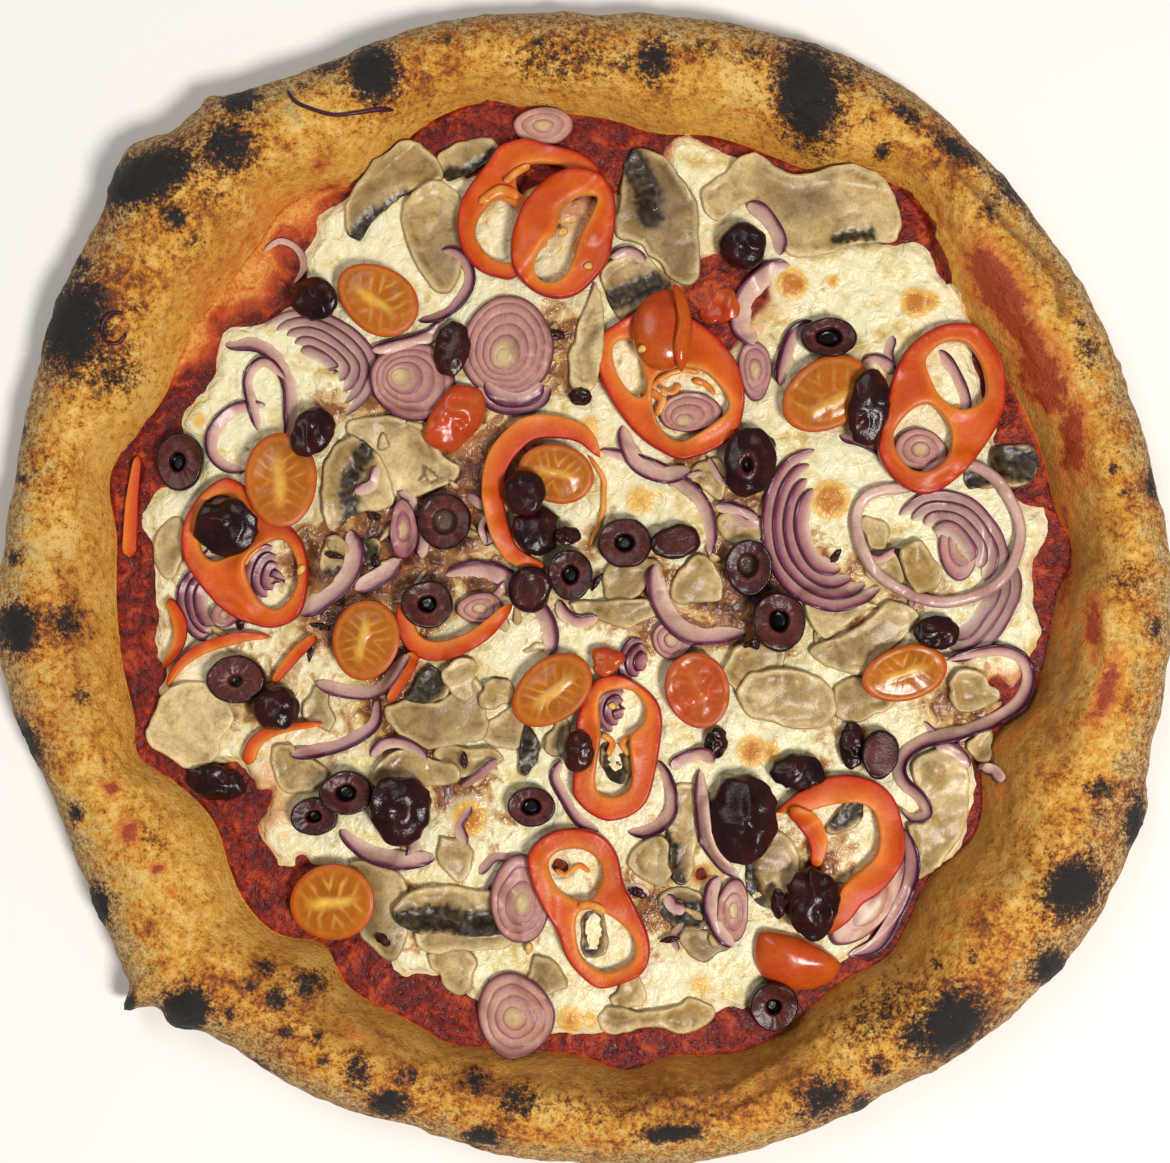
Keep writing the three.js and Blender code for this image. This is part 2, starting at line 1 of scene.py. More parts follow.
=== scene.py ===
"""A vegetarian pizza, whole and uncut, seen from straight above.

The dough, the sauce, the cheese and each kind of topping are one mesh each. Toppings are made one after
another, from the lowest to the highest, and each is laid on what is already there.
Places are pixels of the photograph, 1170 by 1163. All other sizes are millimetres, and angles are degrees.
"""

import bpy
import numpy as np
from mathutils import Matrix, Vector
from mathutils.geometry import delaunay_2d_cdt


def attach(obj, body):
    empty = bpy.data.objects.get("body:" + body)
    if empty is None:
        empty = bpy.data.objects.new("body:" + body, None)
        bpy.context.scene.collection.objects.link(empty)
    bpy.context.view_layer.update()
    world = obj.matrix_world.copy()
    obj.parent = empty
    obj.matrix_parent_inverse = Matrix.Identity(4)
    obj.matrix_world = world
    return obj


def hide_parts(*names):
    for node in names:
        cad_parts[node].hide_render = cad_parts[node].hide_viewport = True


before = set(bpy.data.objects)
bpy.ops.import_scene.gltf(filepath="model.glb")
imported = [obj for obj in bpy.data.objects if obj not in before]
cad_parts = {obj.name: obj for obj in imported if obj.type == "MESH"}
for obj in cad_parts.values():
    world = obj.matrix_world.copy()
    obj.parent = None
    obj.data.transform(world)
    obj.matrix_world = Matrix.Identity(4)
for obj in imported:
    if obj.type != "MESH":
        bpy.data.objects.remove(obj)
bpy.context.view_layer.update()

# ---------------------------------------------------------------- driving dimensions, as in the frame
MM = 0.001
MM_PER_PIXEL = 0.277               # at the level of the table
EYE_HEIGHT = 700.0
PHOTO_SIZE = (1170, 1163)
DOUGH_CENTRE = (584.5, 585.5)      # pixel under which the dough's own centre lies
SENSOR = 36.0

OUTER_RADIUS = 158.0
FOOT_RADIUS = 128.7
RIM_HEIGHT = 21.0
PUFF_HEIGHT = 0.7
CREST_PLACE = 0.52
WIDEST_PLACE = 0.36
UNDERSIDE_PLACE = 0.3
BASE_THICKNESS = 3.0
SAUCE_LEVEL = 4.6
CHEESE_THICKNESS = 2.0
CAD_DIRECTIONS = 84

# Bulges and dips around the dough: direction, width, height.
OUTER_BULGES = [
    (322, 26, 8.5), (135, 9, 11.5), (150, 10, 5), (122, 7, 2.2), (57, 12, 4), (222, 7, 6), (187, 12, 2.5),
    (88, 6, -1.5), (252, 8, -2.4), (200, 5, -2), (105, 5, 1.4), (283, 8, 2), (0, 10, 1.6),
]
FOOT_BULGES = [
    (104, 9, 7), (81, 5, -2.8), (51, 7, 10.5), (15, 10, 2.2), (4, 4, 5), (338, 7, -10), (320, 5, -4.5),
    (309, 4, 2.8), (290, 9, 6.6), (275, 4, 4.4), (254, 4, 2.5), (234, 4, -6.6), (212, 8, -8), (201, 3, 3.3),
    (167, 5, 5), (155, 5, -2.2), (128, 5, 4.1), (118, 4, -2.8),
]
HEIGHT_BULGES = [
    (135, 12, 4), (322, 24, 3.5), (225, 12, 2), (90, 14, -2), (256, 9, -1.5), (52, 9, -2), (182, 10, 1.5),
]
# Small tips of the silhouette that the frame leaves out: direction, width, height.
TIPS = [
    (222.7, 1.1, 6.0), (221.0, 2.6, 1.2), (127.6, 1.2, 2.6), (131.5, 1.2, -1.6), (133.0, 1.0, -1.4),
    (136.5, 2.0, 1.6), (141.0, 2.0, -1.4), (226.5, 1.4, 1.6), (213.0, 1.8, 0.9), (345.0, 1.6, -1.0),
    (338.5, 1.5, 1.2), (354.0, 1.2, 0.8), (181.0, 2.0, 0.9), (205.0, 2.0, -0.8),
]


# ---------------------------------------------------------------- numbers
LATTICE_SIDE = 64
LATTICE = np.random.default_rng(11).uniform(-1.0, 1.0, (LATTICE_SIDE,) * 3)
SEED_STEP = np.array((17.3, 5.9, 11.7))


def noise(points, size, seed=0):
    """Smooth random values from -1 to 1 that change over about size millimetres."""
    spots = points / size + seed * SEED_STEP
    low = np.floor(spots).astype(int)
    part = spots - low
    part = part * part * (3.0 - 2.0 * part)
    total = np.zeros(len(points))
    for corner in range(8):
        step = np.array((corner & 1, corner >> 1 & 1, corner >> 2))
        weight = np.prod(np.where(step, part, 1.0 - part), axis=1)
        i, j, k = ((low + step) % LATTICE_SIDE).T
        total += weight * LATTICE[i, j, k]
    return total


def fbm(points, size, octaves=4, seed=0):
    """Noise of several sizes added up, each half as wide and half as strong as the one before."""
    total = np.zeros(len(points))
    for k in range(octaves):
        total += 0.5 ** k * noise(points, size / 2 ** k, seed + k)
    return total


def smoothstep(low, high, value):
    part = np.clip((value - low) / (high - low), 0.0, 1.0)
    return part * part * (3.0 - 2.0 * part)


def flat(xy):
    return np.column_stack((xy, np.zeros(len(xy))))


def rgb(*values):
    """A colour given as 0 to 255 on the screen, as linear light."""
    v = np.array(values) / 255.0
    return np.where(v <= 0.04045, v / 12.92, ((v + 0.055) / 1.055) ** 2.4)


def blend(first, second, amount):
    """Colours mixed by an amount for each point."""
    amount = np.clip(np.broadcast_to(amount, len(first)), 0.0, 1.0)[:, None]
    return first * (1.0 - amount) + second * amount


def paint(count, colour):
    return np.tile(colour, (count, 1))


# ---------------------------------------------------------------- the photograph and the pizza's own place
def bulge(degrees, bulges):
    total = np.zeros_like(degrees)
    for at, wide, tall in bulges:
        away = (degrees - at + 540.0) % 360.0 - 180.0
        total += tall * np.exp(-((away / wide) ** 2))
    return total


def polar(degrees, radius):
    angle = np.radians(degrees)
    return np.column_stack((radius * np.cos(angle), radius * np.sin(angle)))


def dough_shift():
    """How far the frame moves the dough's centre, so that its box is centred on the origin."""
    degrees = 360.0 * np.arange(CAD_DIRECTIONS) / CAD_DIRECTIONS
    outline = polar(degrees, OUTER_RADIUS + bulge(degrees, OUTER_BULGES))
    return -(outline.min(0) + outline.max(0)) / 2.0


SHIFT = dough_shift()
PHOTO_MIDDLE = np.array(PHOTO_SIZE) / 2.0
EYE = SHIFT + MM_PER_PIXEL * (PHOTO_MIDDLE - DOUGH_CENTRE) * (1, -1)
TOPPING_LEVEL = 8.0


def from_photo(places, level=TOPPING_LEVEL):
    """Plan positions of pixels that are seen at a given height."""
    scale = MM_PER_PIXEL * (1.0 - level / EYE_HEIGHT)
    return EYE + (np.asarray(places, float) - PHOTO_MIDDLE) * (scale, -scale)


def to_photo(points):
    scale = MM_PER_PIXEL * (1.0 - points[:, 2] / EYE_HEIGHT)
    return PHOTO_MIDDLE + (points[:, :2] - EYE) / scale[:, None] * (1, -1)


# ---------------------------------------------------------------- lines and outlines
def spline(points, closed, steps=12):
    """A smooth line through all the points."""
    points = np.asarray(points, float)
    if closed:
        around = np.vstack((points[-1:], points, points[:2]))
    else:
        first = 2 * points[0] - points[1]
        last = 2 * points[-1] - points[-2]
        around = np.vstack((first, points, last))
    t = np.arange(steps)[:, None] / steps
    parts = []
    for a, b, c, d in zip(around[:-3], around[1:-2], around[2:-1], around[3:]):
        parts.append(0.5 * (2 * b + (c - a) * t + (2 * a - 5 * b + 4 * c - d) * t ** 2
                            + (3 * b - a - 3 * c + d) * t ** 3))
    line = np.vstack(parts)
    return line if closed else np.vstack((line, points[-1:]))


def resample(line, spacing, closed):
    """The same line with points at even distances."""
    if closed:
        line = np.vstack((line, line[:1]))
    steps = np.hypot(*np.diff(line, axis=0).T)
    travelled = np.concatenate(((0.0,), np.cumsum(steps)))
    count = max(8, int(round(travelled[-1] / spacing)))
    wanted = np.linspace(0.0, travelled[-1], count + 1)
    if closed:
        wanted = wanted[:-1]
    return np.column_stack([np.interp(wanted, travelled, line[:, k]) for k in range(2)])


def outline_through(places, spacing=0.9):
    loop = resample(spline(from_photo(places), True), spacing, True)
    return loop if signed_area(loop) > 0 else loop[::-1]


def line_through(places, spacing=0.8):
    return resample(spline(from_photo(places), False), spacing, False)


def oval(at, long, wide, turn, egg, spacing):
    """An outline that starts as an ellipse; egg fattens its right end."""
    count = max(12, int(np.pi * (long + wide) / 2 / spacing))
    angle = 2 * np.pi * np.arange(count) / count
    u, v = np.cos(angle), np.sin(angle)
    shape = np.column_stack((long / 2 * u, wide / 2 * v * (1 + egg * u)))
    return from_photo(at) + turned_by(shape, turn)


def turned_by(xy, degrees):
    c, s = np.cos(np.radians(degrees)), np.sin(np.radians(degrees))
    return xy @ np.array(((c, s), (-s, c)))


def signed_area(loop):
    x, y = loop.T
    return 0.5 * np.sum(x * np.roll(y, -1) - y * np.roll(x, -1))


def inside(points, loop):
    within = np.zeros(len(points), bool)
    x, y = points.T
    for (ax, ay), (bx, by) in zip(loop, np.roll(loop, -1, axis=0)):
        if ay != by:
            crosses = (ay > y) != (by > y)
            within ^= crosses & (x < (bx - ax) * (y - ay) / (by - ay) + ax)
    return within


def distance_to(points, line, closed=True):
    best = np.full(len(points), np.inf)
    ends = np.roll(line, -1, axis=0) if closed else line[1:]
    for a, b in zip(line, ends):
        along = b - a
        part = np.clip((points - a) @ along / max(along @ along, 1e-12), 0.0, 1.0)
        away = points - a - part[:, None] * along
        best = np.minimum(best, np.einsum("ij,ij->i", away, away))
    return np.sqrt(best)


def spot(points, places, level=TOPPING_LEVEL):
    """How near each plan point is to some round spots (x, y, size in pixels, strength), from 0 to 1."""
    total = np.zeros(len(points))
    for x, y, size, strength in places:
        away = np.hypot(*(points - from_photo((x, y), level)).T) / (size * MM_PER_PIXEL / 2)
        total = np.maximum(total, strength * np.exp(-(away ** 2)))
    return total


# ---------------------------------------------------------------- meshes
class Heap:
    """Pieces of one kind, collected to become one mesh. Each point carries its values for the material."""

    def __init__(self):
        self.points = []
        self.faces = []
        self.values = {}
        self.count = 0

    def add(self, points, faces, **values):
        self.points.append(points)
        self.faces += [tuple(i + self.count for i in face) for face in faces]
        self.count += len(points)
        for name, value in values.items():
            self.values.setdefault(name, []).append(value)

    def make(self, name, material, slot, nodes):
        mesh = bpy.data.meshes.new(name)
        mesh.from_pydata((np.vstack(self.points) * MM).tolist(), [], self.faces)
        for key, parts in self.values.items():
            value = np.concatenate(parts).astype(np.float32)
            if value.ndim == 2:
                value = np.column_stack((value, np.ones(len(value), np.float32)))
                layer = mesh.attributes.new(key, "FLOAT_COLOR", "POINT")
                layer.data.foreach_set("color", value.ravel())
            else:
                layer = mesh.attributes.new(key, "FLOAT", "POINT")
                layer.data.foreach_set("value", value)
        mesh.materials.append(material)
        mesh.shade_smooth()
        mesh.update()
        piece = bpy.data.objects.new(name, mesh)
        bpy.context.scene.collection.objects.link(piece)
        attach(piece, "root")
        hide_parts(*nodes)
        return piece


def grid_faces(rows, columns):
    """Quads between neighbouring rows of points; the columns go round."""
    faces = []
    for r in range(rows - 1):
        here = r * columns
        there = here + columns
        for c in range(columns):
            n = (c + 1) % columns
            faces.append((here + c, here + n, there + n, there + c))
    return faces


def fans(first_row, last_row, columns, first, last):
    """Triangles that shut a tube at two middle points."""
    faces = []
    for c in range(columns):
        n = (c + 1) % columns
        faces.append((first, first_row + n, first_row + c))
        faces.append((last, last_row + c, last_row + n))
    return faces


def turned_shape(outline, profile, core=None):
    """A closed shape of rings. profile goes from the top's middle to the bottom's middle as (reach, height),
    where a reach of 1 is the outline. core is the plan place that the inner rings move to."""
    centre = outline.mean(0)
    core = centre if core is None else core
    profile = np.asarray(profile, float)
    reach = profile[1:-1, 0]
    middle = centre + (core - centre) * np.clip(1 - reach, 0, 1)[:, None] ** 1.5
    rings = middle[:, None, :] + reach[:, None, None] * (outline - centre)[None]
    heights = np.broadcast_to(profile[1:-1, 1][:, None, None], rings.shape[:2] + (1,))
    points = np.concatenate((rings, heights), axis=2).reshape(-1, 3)
    rows, columns = rings.shape[:2]
    ends = np.array(((*core, profile[0, 1]), (*core, profile[-1, 1])))
    count = len(points)
    faces = [face[::-1] for face in grid_faces(rows, columns)]
    faces += [face[::-1] for face in fans(0, count - columns, columns, count, count + 1)]
    order = np.concatenate((np.repeat(np.arange(1, rows + 1), columns), (0, rows + 1)))
    angle = np.concatenate((np.tile(2 * np.pi * np.arange(columns) / columns, rows), (0, 0)))
    return np.vstack((points, ends)), faces, profile[order, 0], angle, order


def round_section(sides, square):
    """Places round a strip's cross section, as parts of its half width and half height."""
    angle = 2 * np.pi * np.arange(sides) / sides
    across = np.sign(np.cos(angle)) * np.abs(np.cos(angle)) ** square
    up = np.sign(np.sin(angle)) * np.abs(np.sin(angle)) ** square
    return across, up


def band_shape(line, width, height, section, lean, taper):
    """A closed strip along a line. Returns points, faces and each point's place across and along it."""
    across, up = section
    sides = len(across)
    tangent = np.gradient(line, axis=0)
    tangent /= np.linalg.norm(tangent, axis=1)[:, None]
    side = np.column_stack((-tangent[:, 1], tangent[:, 0]))
    count = len(line)
    along = np.linspace(0.0, 1.0, count)
    from_end = np.minimum(along, 1 - along) / taper
    full = np.sqrt(np.clip(1 - (1 - np.clip(from_end, 0, 1)) ** 2, 0.02, 1))
    half = (np.broadcast_to(width, count) / 2 * full)[:, None]
    tall = (np.broadcast_to(height, count) * (0.35 + 0.65 * full))[:, None]
    place = line[:, None, :] + side[:, None, :] * (half * across)[:, :, None]
    z = tall * (0.5 + 0.5 * up) + lean * half * across
    points = np.concatenate((place, z[:, :, None]), axis=2).reshape(-1, 3)
    ends = np.vstack((np.append(line[0], z[0].mean()), np.append(line[-1], z[-1].mean())))
    total = len(points)
    faces = grid_faces(count, sides) + fans(0, total - sides, sides, total, total + 1)
    across_all = np.concatenate((np.tile(across, count), (0, 0)))
    along_all = np.concatenate((np.repeat(along, sides), (0, 1)))
    return np.vstack((points, ends)), faces, across_all, along_all


EDGE_ROWS = (0.16, 0.45, 0.9)


class Slab:
    """A flat piece of any outline, with holes and rounded edges."""

    def __init__(self, outer, holes=(), thickness=3.0, rounding=1.2, spacing=0.9, middle=0.45):
        loops = [outer] + [hole[::-1] for hole in holes]
        plan, triangles = fill_loops(loops, spacing)
        to_outer = distance_to(plan, outer)
        to_hole = np.full(len(plan), np.inf)
        for hole in holes:
            to_hole = np.minimum(to_hole, distance_to(plan, hole))
        depth = np.minimum(to_outer, to_hole)
        at_edge = depth < 1e-3
        count = len(plan)
        under = np.arange(count)
        under[~at_edge] = count + np.arange((~at_edge).sum())
        full = np.sqrt(1 - (1 - np.clip(depth / rounding, 0, 1)) ** 2)
        top = thickness * (middle + (1 - middle) * full)
        bottom = thickness * middle * (1 - full)

        def both(values):
            return np.concatenate((values, values[~at_edge]))

        self.plan = np.vstack((plan, plan[~at_edge]))
        self.height = np.concatenate((top, bottom[~at_edge]))
        self.is_top = np.concatenate((np.ones(count, bool), np.zeros((~at_edge).sum(), bool)))
        self.to_outer, self.to_hole, self.depth = both(to_outer), both(to_hole), both(depth)
        self.full = both(full)
        self.faces = [tuple(t) for t in triangles.tolist()]
        self.faces += [(c, b, a) for a, b, c in under[triangles].tolist()]

    def points(self, relief=None):
        z = self.height if relief is None else self.height + relief * self.full * self.is_top
        return np.column_stack((self.plan, z))


def fill_loops(loops, spacing):
    """Points and triangles between an outer loop and the loops of its holes."""
    rows = []
    least = []
    for loop in loops:
        tangent = np.roll(loop, -1, axis=0) - np.roll(loop, 1, axis=0)
        tangent /= np.linalg.norm(tangent, axis=1)[:, None]
        inward = np.column_stack((-tangent[:, 1], tangent[:, 0]))
        for depth in EDGE_ROWS:
            rows.append(loop + inward * depth)
            least.append(np.full(len(loop), 0.8 * depth))
    low, high = loops[0].min(0), loops[0].max(0)
    columns = np.arange(low[0], high[0], spacing)
    lines = np.arange(low[1], high[1], spacing * 0.87)
    x, y = np.meshgrid(columns, lines)
    x[1::2] += spacing / 2
    rows.append(np.column_stack((x.ravel(), y.ravel())))
    least.append(np.full(x.size, EDGE_ROWS[-1] + 0.45 * spacing))
    inner = np.vstack(rows)
    keep = inside(inner, loops[0])
    for hole in loops[1:]:
        keep &= ~inside(inner, hole)
    away = np.full(len(inner), np.inf)
    for loop in loops:
        away[keep] = np.minimum(away[keep], distance_to(inner[keep], loop))
    inner = inner[keep & (away > np.concatenate(least))]
    edges = []
    start = 0
    for loop in loops:
        edges += [(start + i, start + (i + 1) % len(loop)) for i in range(len(loop))]
        start += len(loop)
    plan = np.vstack(loops + [inner])
    made = delaunay_2d_cdt([Vector(p) for p in plan.tolist()], edges, [], 0, 1e-4)
    plan = np.array([tuple(v) for v in made[0]])
    triangles = np.array(made[2])
    centre = plan[triangles].mean(1)
    kept = inside(centre, loops[0])
    for hole in loops[1:]:
        kept &= ~inside(centre, hole)
    triangles = triangles[kept]
    a, b, c = (plan[triangles[:, k]] for k in range(3))
    turn = (b[:, 0] - a[:, 0]) * (c[:, 1] - a[:, 1]) - (b[:, 1] - a[:, 1]) * (c[:, 0] - a[:, 0])
    triangles[turn < 0] = triangles[turn < 0][:, ::-1]
    used = np.unique(triangles)
    renumber = np.zeros(len(plan), int)
    renumber[used] = np.arange(len(used))
    return plan[used], renumber[triangles]


# ---------------------------------------------------------------- materials
class Look:
    """A short way to write a node material. Sizes of noise are millimetres."""

    def __init__(self, name, roughness=0.5, **sockets):
        self.material = bpy.data.materials.new(name)
        self.material.use_nodes = True
        self.nodes = self.material.node_tree.nodes
        self.links = self.material.node_tree.links
        self.shader = self.nodes["Principled BSDF"]
        self.shader.inputs["Roughness"].default_value = roughness
        for key, value in sockets.items():
            self.shader.inputs[key.replace("_", " ")].default_value = value
        self.place = self.nodes.new("ShaderNodeTexCoord").outputs["Object"]
        self.last_bump = None

    def put(self, socket, value):
        if isinstance(value, (int, float)):
            socket.default_value = value
        elif isinstance(value, (tuple, list, np.ndarray)):
            socket.default_value = (*value[:3], 1.0)
        else:
            self.links.new(value, socket)

    def attribute(self, name, colour=False):
        node = self.nodes.new("ShaderNodeAttribute")
        node.attribute_name = name
        return node.outputs["Color" if colour else "Fac"]

    def noise(self, size, detail=3.0, rough=0.55, warp=0.0):
        node = self.nodes.new("ShaderNodeTexNoise")
        self.links.new(self.place, node.inputs["Vector"])
        node.inputs["Scale"].default_value = 1.0 / (size * MM)
        node.inputs["Detail"].default_value = detail
        node.inputs["Roughness"].default_value = rough
        node.inputs["Distortion"].default_value = warp
        return node.outputs["Fac"]

    def math(self, operation, first, second=0.0):
        node = self.nodes.new("ShaderNodeMath")
        node.operation = operation
        self.put(node.inputs[0], first)
        self.put(node.inputs[1], second)
        return node.outputs[0]

    def total(self, *parts):
        """The sum of values times factors. A part without a factor is taken as it is."""
        values = [self.math("MULTIPLY", *part) if isinstance(part, tuple) else part for part in parts]
        result = values[0]
        for value in values[1:]:
            result = self.math("ADD", result, value)
        return result

    def vary(self, value, noise, amount):
        """A value moved up and down by noise."""
        return self.math("ADD", value, self.math("MULTIPLY", self.math("SUBTRACT", noise, 0.5), amount))

    def step(self, value, low, high, to_low=0.0, to_high=1.0):
        """value mapped smoothly from low..high to to_low..to_high."""
        node = self.nodes.new("ShaderNodeMapRange")
        node.interpolation_type = "SMOOTHSTEP"
        self.put(node.inputs["Value"], value)
        for key, number in zip(("From Min", "From Max", "To Min", "To Max"), (low, high, to_low, to_high)):
            node.inputs[key].default_value = number
        return node.outputs["Result"]

    def ramp(self, value, stops):
        node = self.nodes.new("ShaderNodeValToRGB")
        elements = node.color_ramp.elements
        while len(elements) < len(stops):
            elements.new(0.5)
        for element, (at, colour) in zip(elements, stops):
            element.position = at
            element.color = (*rgb(*colour), 1.0)
        self.put(node.inputs["Fac"], value)
        return node.outputs["Color"]

    def mix(self, amount, first, second, kind="MIX"):
        node = self.nodes.new("ShaderNodeMix")
        node.data_type = "RGBA"
        node.blend_type = kind
        self.put(node.inputs[0], amount)
        self.put(node.inputs[6], first)
        self.put(node.inputs[7], second)
        return node.outputs[2]

    def bump(self, height, distance, strength=1.0):
        node = self.nodes.new("ShaderNodeBump")
        node.inputs["Strength"].default_value = strength
        node.inputs["Distance"].default_value = distance * MM
        self.put(node.inputs["Height"], height)
        if self.last_bump is not None:
            self.links.new(self.last_bump, node.inputs["Normal"])
        self.last_bump = node.outputs["Normal"]
        self.links.new(self.last_bump, self.shader.inputs["Normal"])

    def set(self, socket, value):
        self.put(self.shader.inputs[socket], value)


def soft(radius, amount):
    """Sockets of a surface that light enters: how far each colour goes, and how much of the light."""
    return {"Subsurface_Weight": amount, "Subsurface_Radius": radius, "Subsurface_Scale": MM}


# ---------------------------------------------------------------- dough
def foot_radius(degrees):
    return FOOT_RADIUS + bulge(degrees, FOOT_BULGES)


def outer_radius(degrees):
    return OUTER_RADIUS + bulge(degrees, OUTER_BULGES) + bulge(degrees, TIPS)


def rim_height(degrees):
    angle = np.radians(degrees)
    puffs = PUFF_HEIGHT * (np.sin(9 * angle + 1) + 0.8 * np.sin(14 * angle + 4) * np.cos(3 * angle))
    return RIM_HEIGHT + bulge(degrees, HEIGHT_BULGES) + puffs


def direction_of(points):
    """Directions of points from the dough's centre, in degrees."""
    return np.degrees(np.arctan2(points[:, 1] - SHIFT[1], points[:, 0] - SHIFT[0])) % 360.0


def dough_top(xy):
    """Height of the dough's upper side, before its small relief, and how far up its rim a point is."""
    radius = np.hypot(*(xy - SHIFT).T)
    degrees = direction_of(xy)
    outer, foot, height = outer_radius(degrees), foot_radius(degrees), rim_height(degrees)
    crest = foot + CREST_PLACE * (outer - foot)
    inward = np.clip((crest - radius) / (crest - foot), 0.0, 1.0)
    rising = BASE_THICKNESS + (height - BASE_THICKNESS) * np.cos(np.pi / 2 * inward) ** 0.8
    outward = np.clip((radius - crest) / (outer - crest), 0.0, 1.0)
    widest = WIDEST_PLACE * height
    falling = widest + (height - widest) * np.sqrt(1 - outward ** 2)
    top = np.where(radius < crest, rising, falling)
    return np.where(radius < outer, top, 0.0), radius - foot


SPOT_POWER = 2.2
# Charred and toasted places of the rim, seen from above: x, y, length, width, turn, strength, rise (mm).
CHAR_SPOTS = [
    (148, 178, 104, 48, 27, 1.25, 1.8), (122, 196, 40, 30, 40, 0.9, 1.0), (203, 86, 24, 20, 0, 1.0, 1.0),
    (240, 101, 42, 28, 10, 1.1, 0.8), (228, 147, 62, 52, 30, 0.95, 0.6), (174, 216, 28, 28, 0, 0.85, 0.3),
    (210, 196, 30, 24, 0, 0.5, 0), (192, 240, 26, 16, 0, 0.5, 0), (83, 266, 22, 22, 0, 0.85, 0.2),
    (76, 325, 66, 100, -15, 1.15, 0.5), (112, 372, 60, 56, 0, 0.62, 0), (131, 306, 30, 18, 0, 0.6, 0),
    (373, 74, 52, 56, 0, 1.2, 0.8), (306, 86, 22, 12, 20, 0.6, 0), (332, 66, 46, 14, 20, 0.7, 0),
    (442, 40, 30, 10, 0, 0.6, 0), (541, 42, 26, 16, 0, 0.7, 0), (654, 60, 40, 44, 0, 0.9, 0.4),
    (620, 62, 40, 26, 0, 0.5, 0), (700, 50, 44, 20, 0, 0.5, 0), (752, 54, 40, 22, 0, 0.6, 0),
    (808, 92, 62, 100, 10, 1.25, 1.0), (845, 76, 50, 30, 0, 0.6, 0), (883, 151, 20, 20, 0, 0.85, 0),
    (870, 122, 16, 14, 0, 0.55, 0), (905, 112, 56, 16, -38, 0.8, 0), (955, 150, 70, 20, -38, 0.85, 0),
    (1008, 192, 60, 20, -45, 0.8, 0), (1036, 222, 40, 16, -55, 0.6, 0), (990, 208, 22, 30, 0, 0.6, 0),
    (1087, 352, 24, 34, 0, 0.6, 0), (1078, 326, 12, 14, 0, 0.55, 0), (1112, 470, 12, 12, 0, 0.7, 0),
    (1126, 492, 14, 14, 0, 0.6, 0), (1152, 482, 14, 40, 0, 0.9, 0), (1130, 580, 40, 34, 0, 0.5, 0),
    (1156, 628, 18, 22, 0, 0.75, 0), (1101, 789, 34, 20, 0, 0.85, 0.2), (1099, 815, 14, 34, 0, 0.6, 0),
    (1133, 822, 20, 70, -12, 1.0, 0.8), (1072, 888, 52, 66, -35, 1.2, 0.8),
    (1049, 967, 34, 40, -30, 1.1, 0.8), (973, 957, 12, 12, 0, 0.7, 0), (937, 965, 14, 12, 0, 0.7, 0),
    (952, 1024, 84, 62, 42, 1.1, 0.5), (916, 1034, 40, 30, 20, 0.9, 0), (985, 1052, 60, 24, 38, 0.9, 0),
    (876, 1066, 30, 24, 0, 0.75, 0), (861, 1106, 26, 26, 0, 0.95, 0.4), (823, 1098, 62, 42, 25, 0.85, 0),
    (672, 1133, 66, 20, 5, 1.1, 0.5), (475, 1081, 32, 30, 0, 0.75, 0), (518, 1102, 46, 34, 0, 0.75, 0),
    (483, 1136, 40, 22, 0, 1.0, 0.3), (389, 1104, 40, 30, 0, 1.1, 0.6), (358, 1072, 30, 40, 0, 0.75, 0),
    (405, 1078, 34, 30, 0, 0.55, 0), (309, 985, 38, 30, 0, 0.8, 0.5), (275, 999, 30, 28, 0, 0.8, 0.2),
    (265, 969, 22, 20, 0, 0.75, 0), (249, 987, 18, 18, 0, 0.7, 0), (231, 1013, 18, 18, 0, 0.7, 0),
    (287, 1032, 26, 16, 0, 0.7, 0), (317, 1037, 18, 16, 0, 0.7, 0), (323, 1061, 18, 14, 0, 0.7, 0),
    (262, 1068, 50, 16, -30, 0.8, 0), (188, 1008, 46, 44, 0, 1.3, 2.0), (126, 1008, 20, 28, 0, 1.2, 0.3),
    (100, 905, 22, 44, 15, 1.1, 0.8), (150, 835, 30, 30, 0, 0.35, 0), (75, 813, 14, 20, 0, 0.9, 0.2),
    (18, 628, 40, 50, 0, 1.2, 0.6), (66, 621, 40, 42, 0, 0.75, 0.2), (83, 696, 20, 20, 0, 0.65, 0),
    (20, 479, 12, 12, 0, 0.8, 0), (24, 431, 12, 12, 0, 0.8, 0), (14, 557, 16, 16, 0, 0.9, 0),
    (28, 742, 22, 54, 20, 1.0, 0.3), (40, 470, 50, 90, 0, 0.25, 0), (1090, 250, 60, 60, 0, 0.2, 0),
    (600, 1110, 160, 40, 0, 0.3, 0), (562, 58, 110, 50, 5, 0.52, 0), (882, 1012, 110, 56, 38, 0.5, 0),
    (700, 1112, 90, 30, 10, 0.35, 0), (146, 200, 170, 110, 30, 0.26, 0), (800, 96, 120, 130, 0, 0.26, 0),
    (1068, 900, 110, 130, -35, 0.28, 0), (380, 84, 110, 90, 0, 0.26, 0), (410, 1100, 180, 60, 0, 0.26, 0),
    (280, 1010, 130, 80, 0, 0.2, 0), (90, 350, 90, 120, -15, 0.24, 0),
]
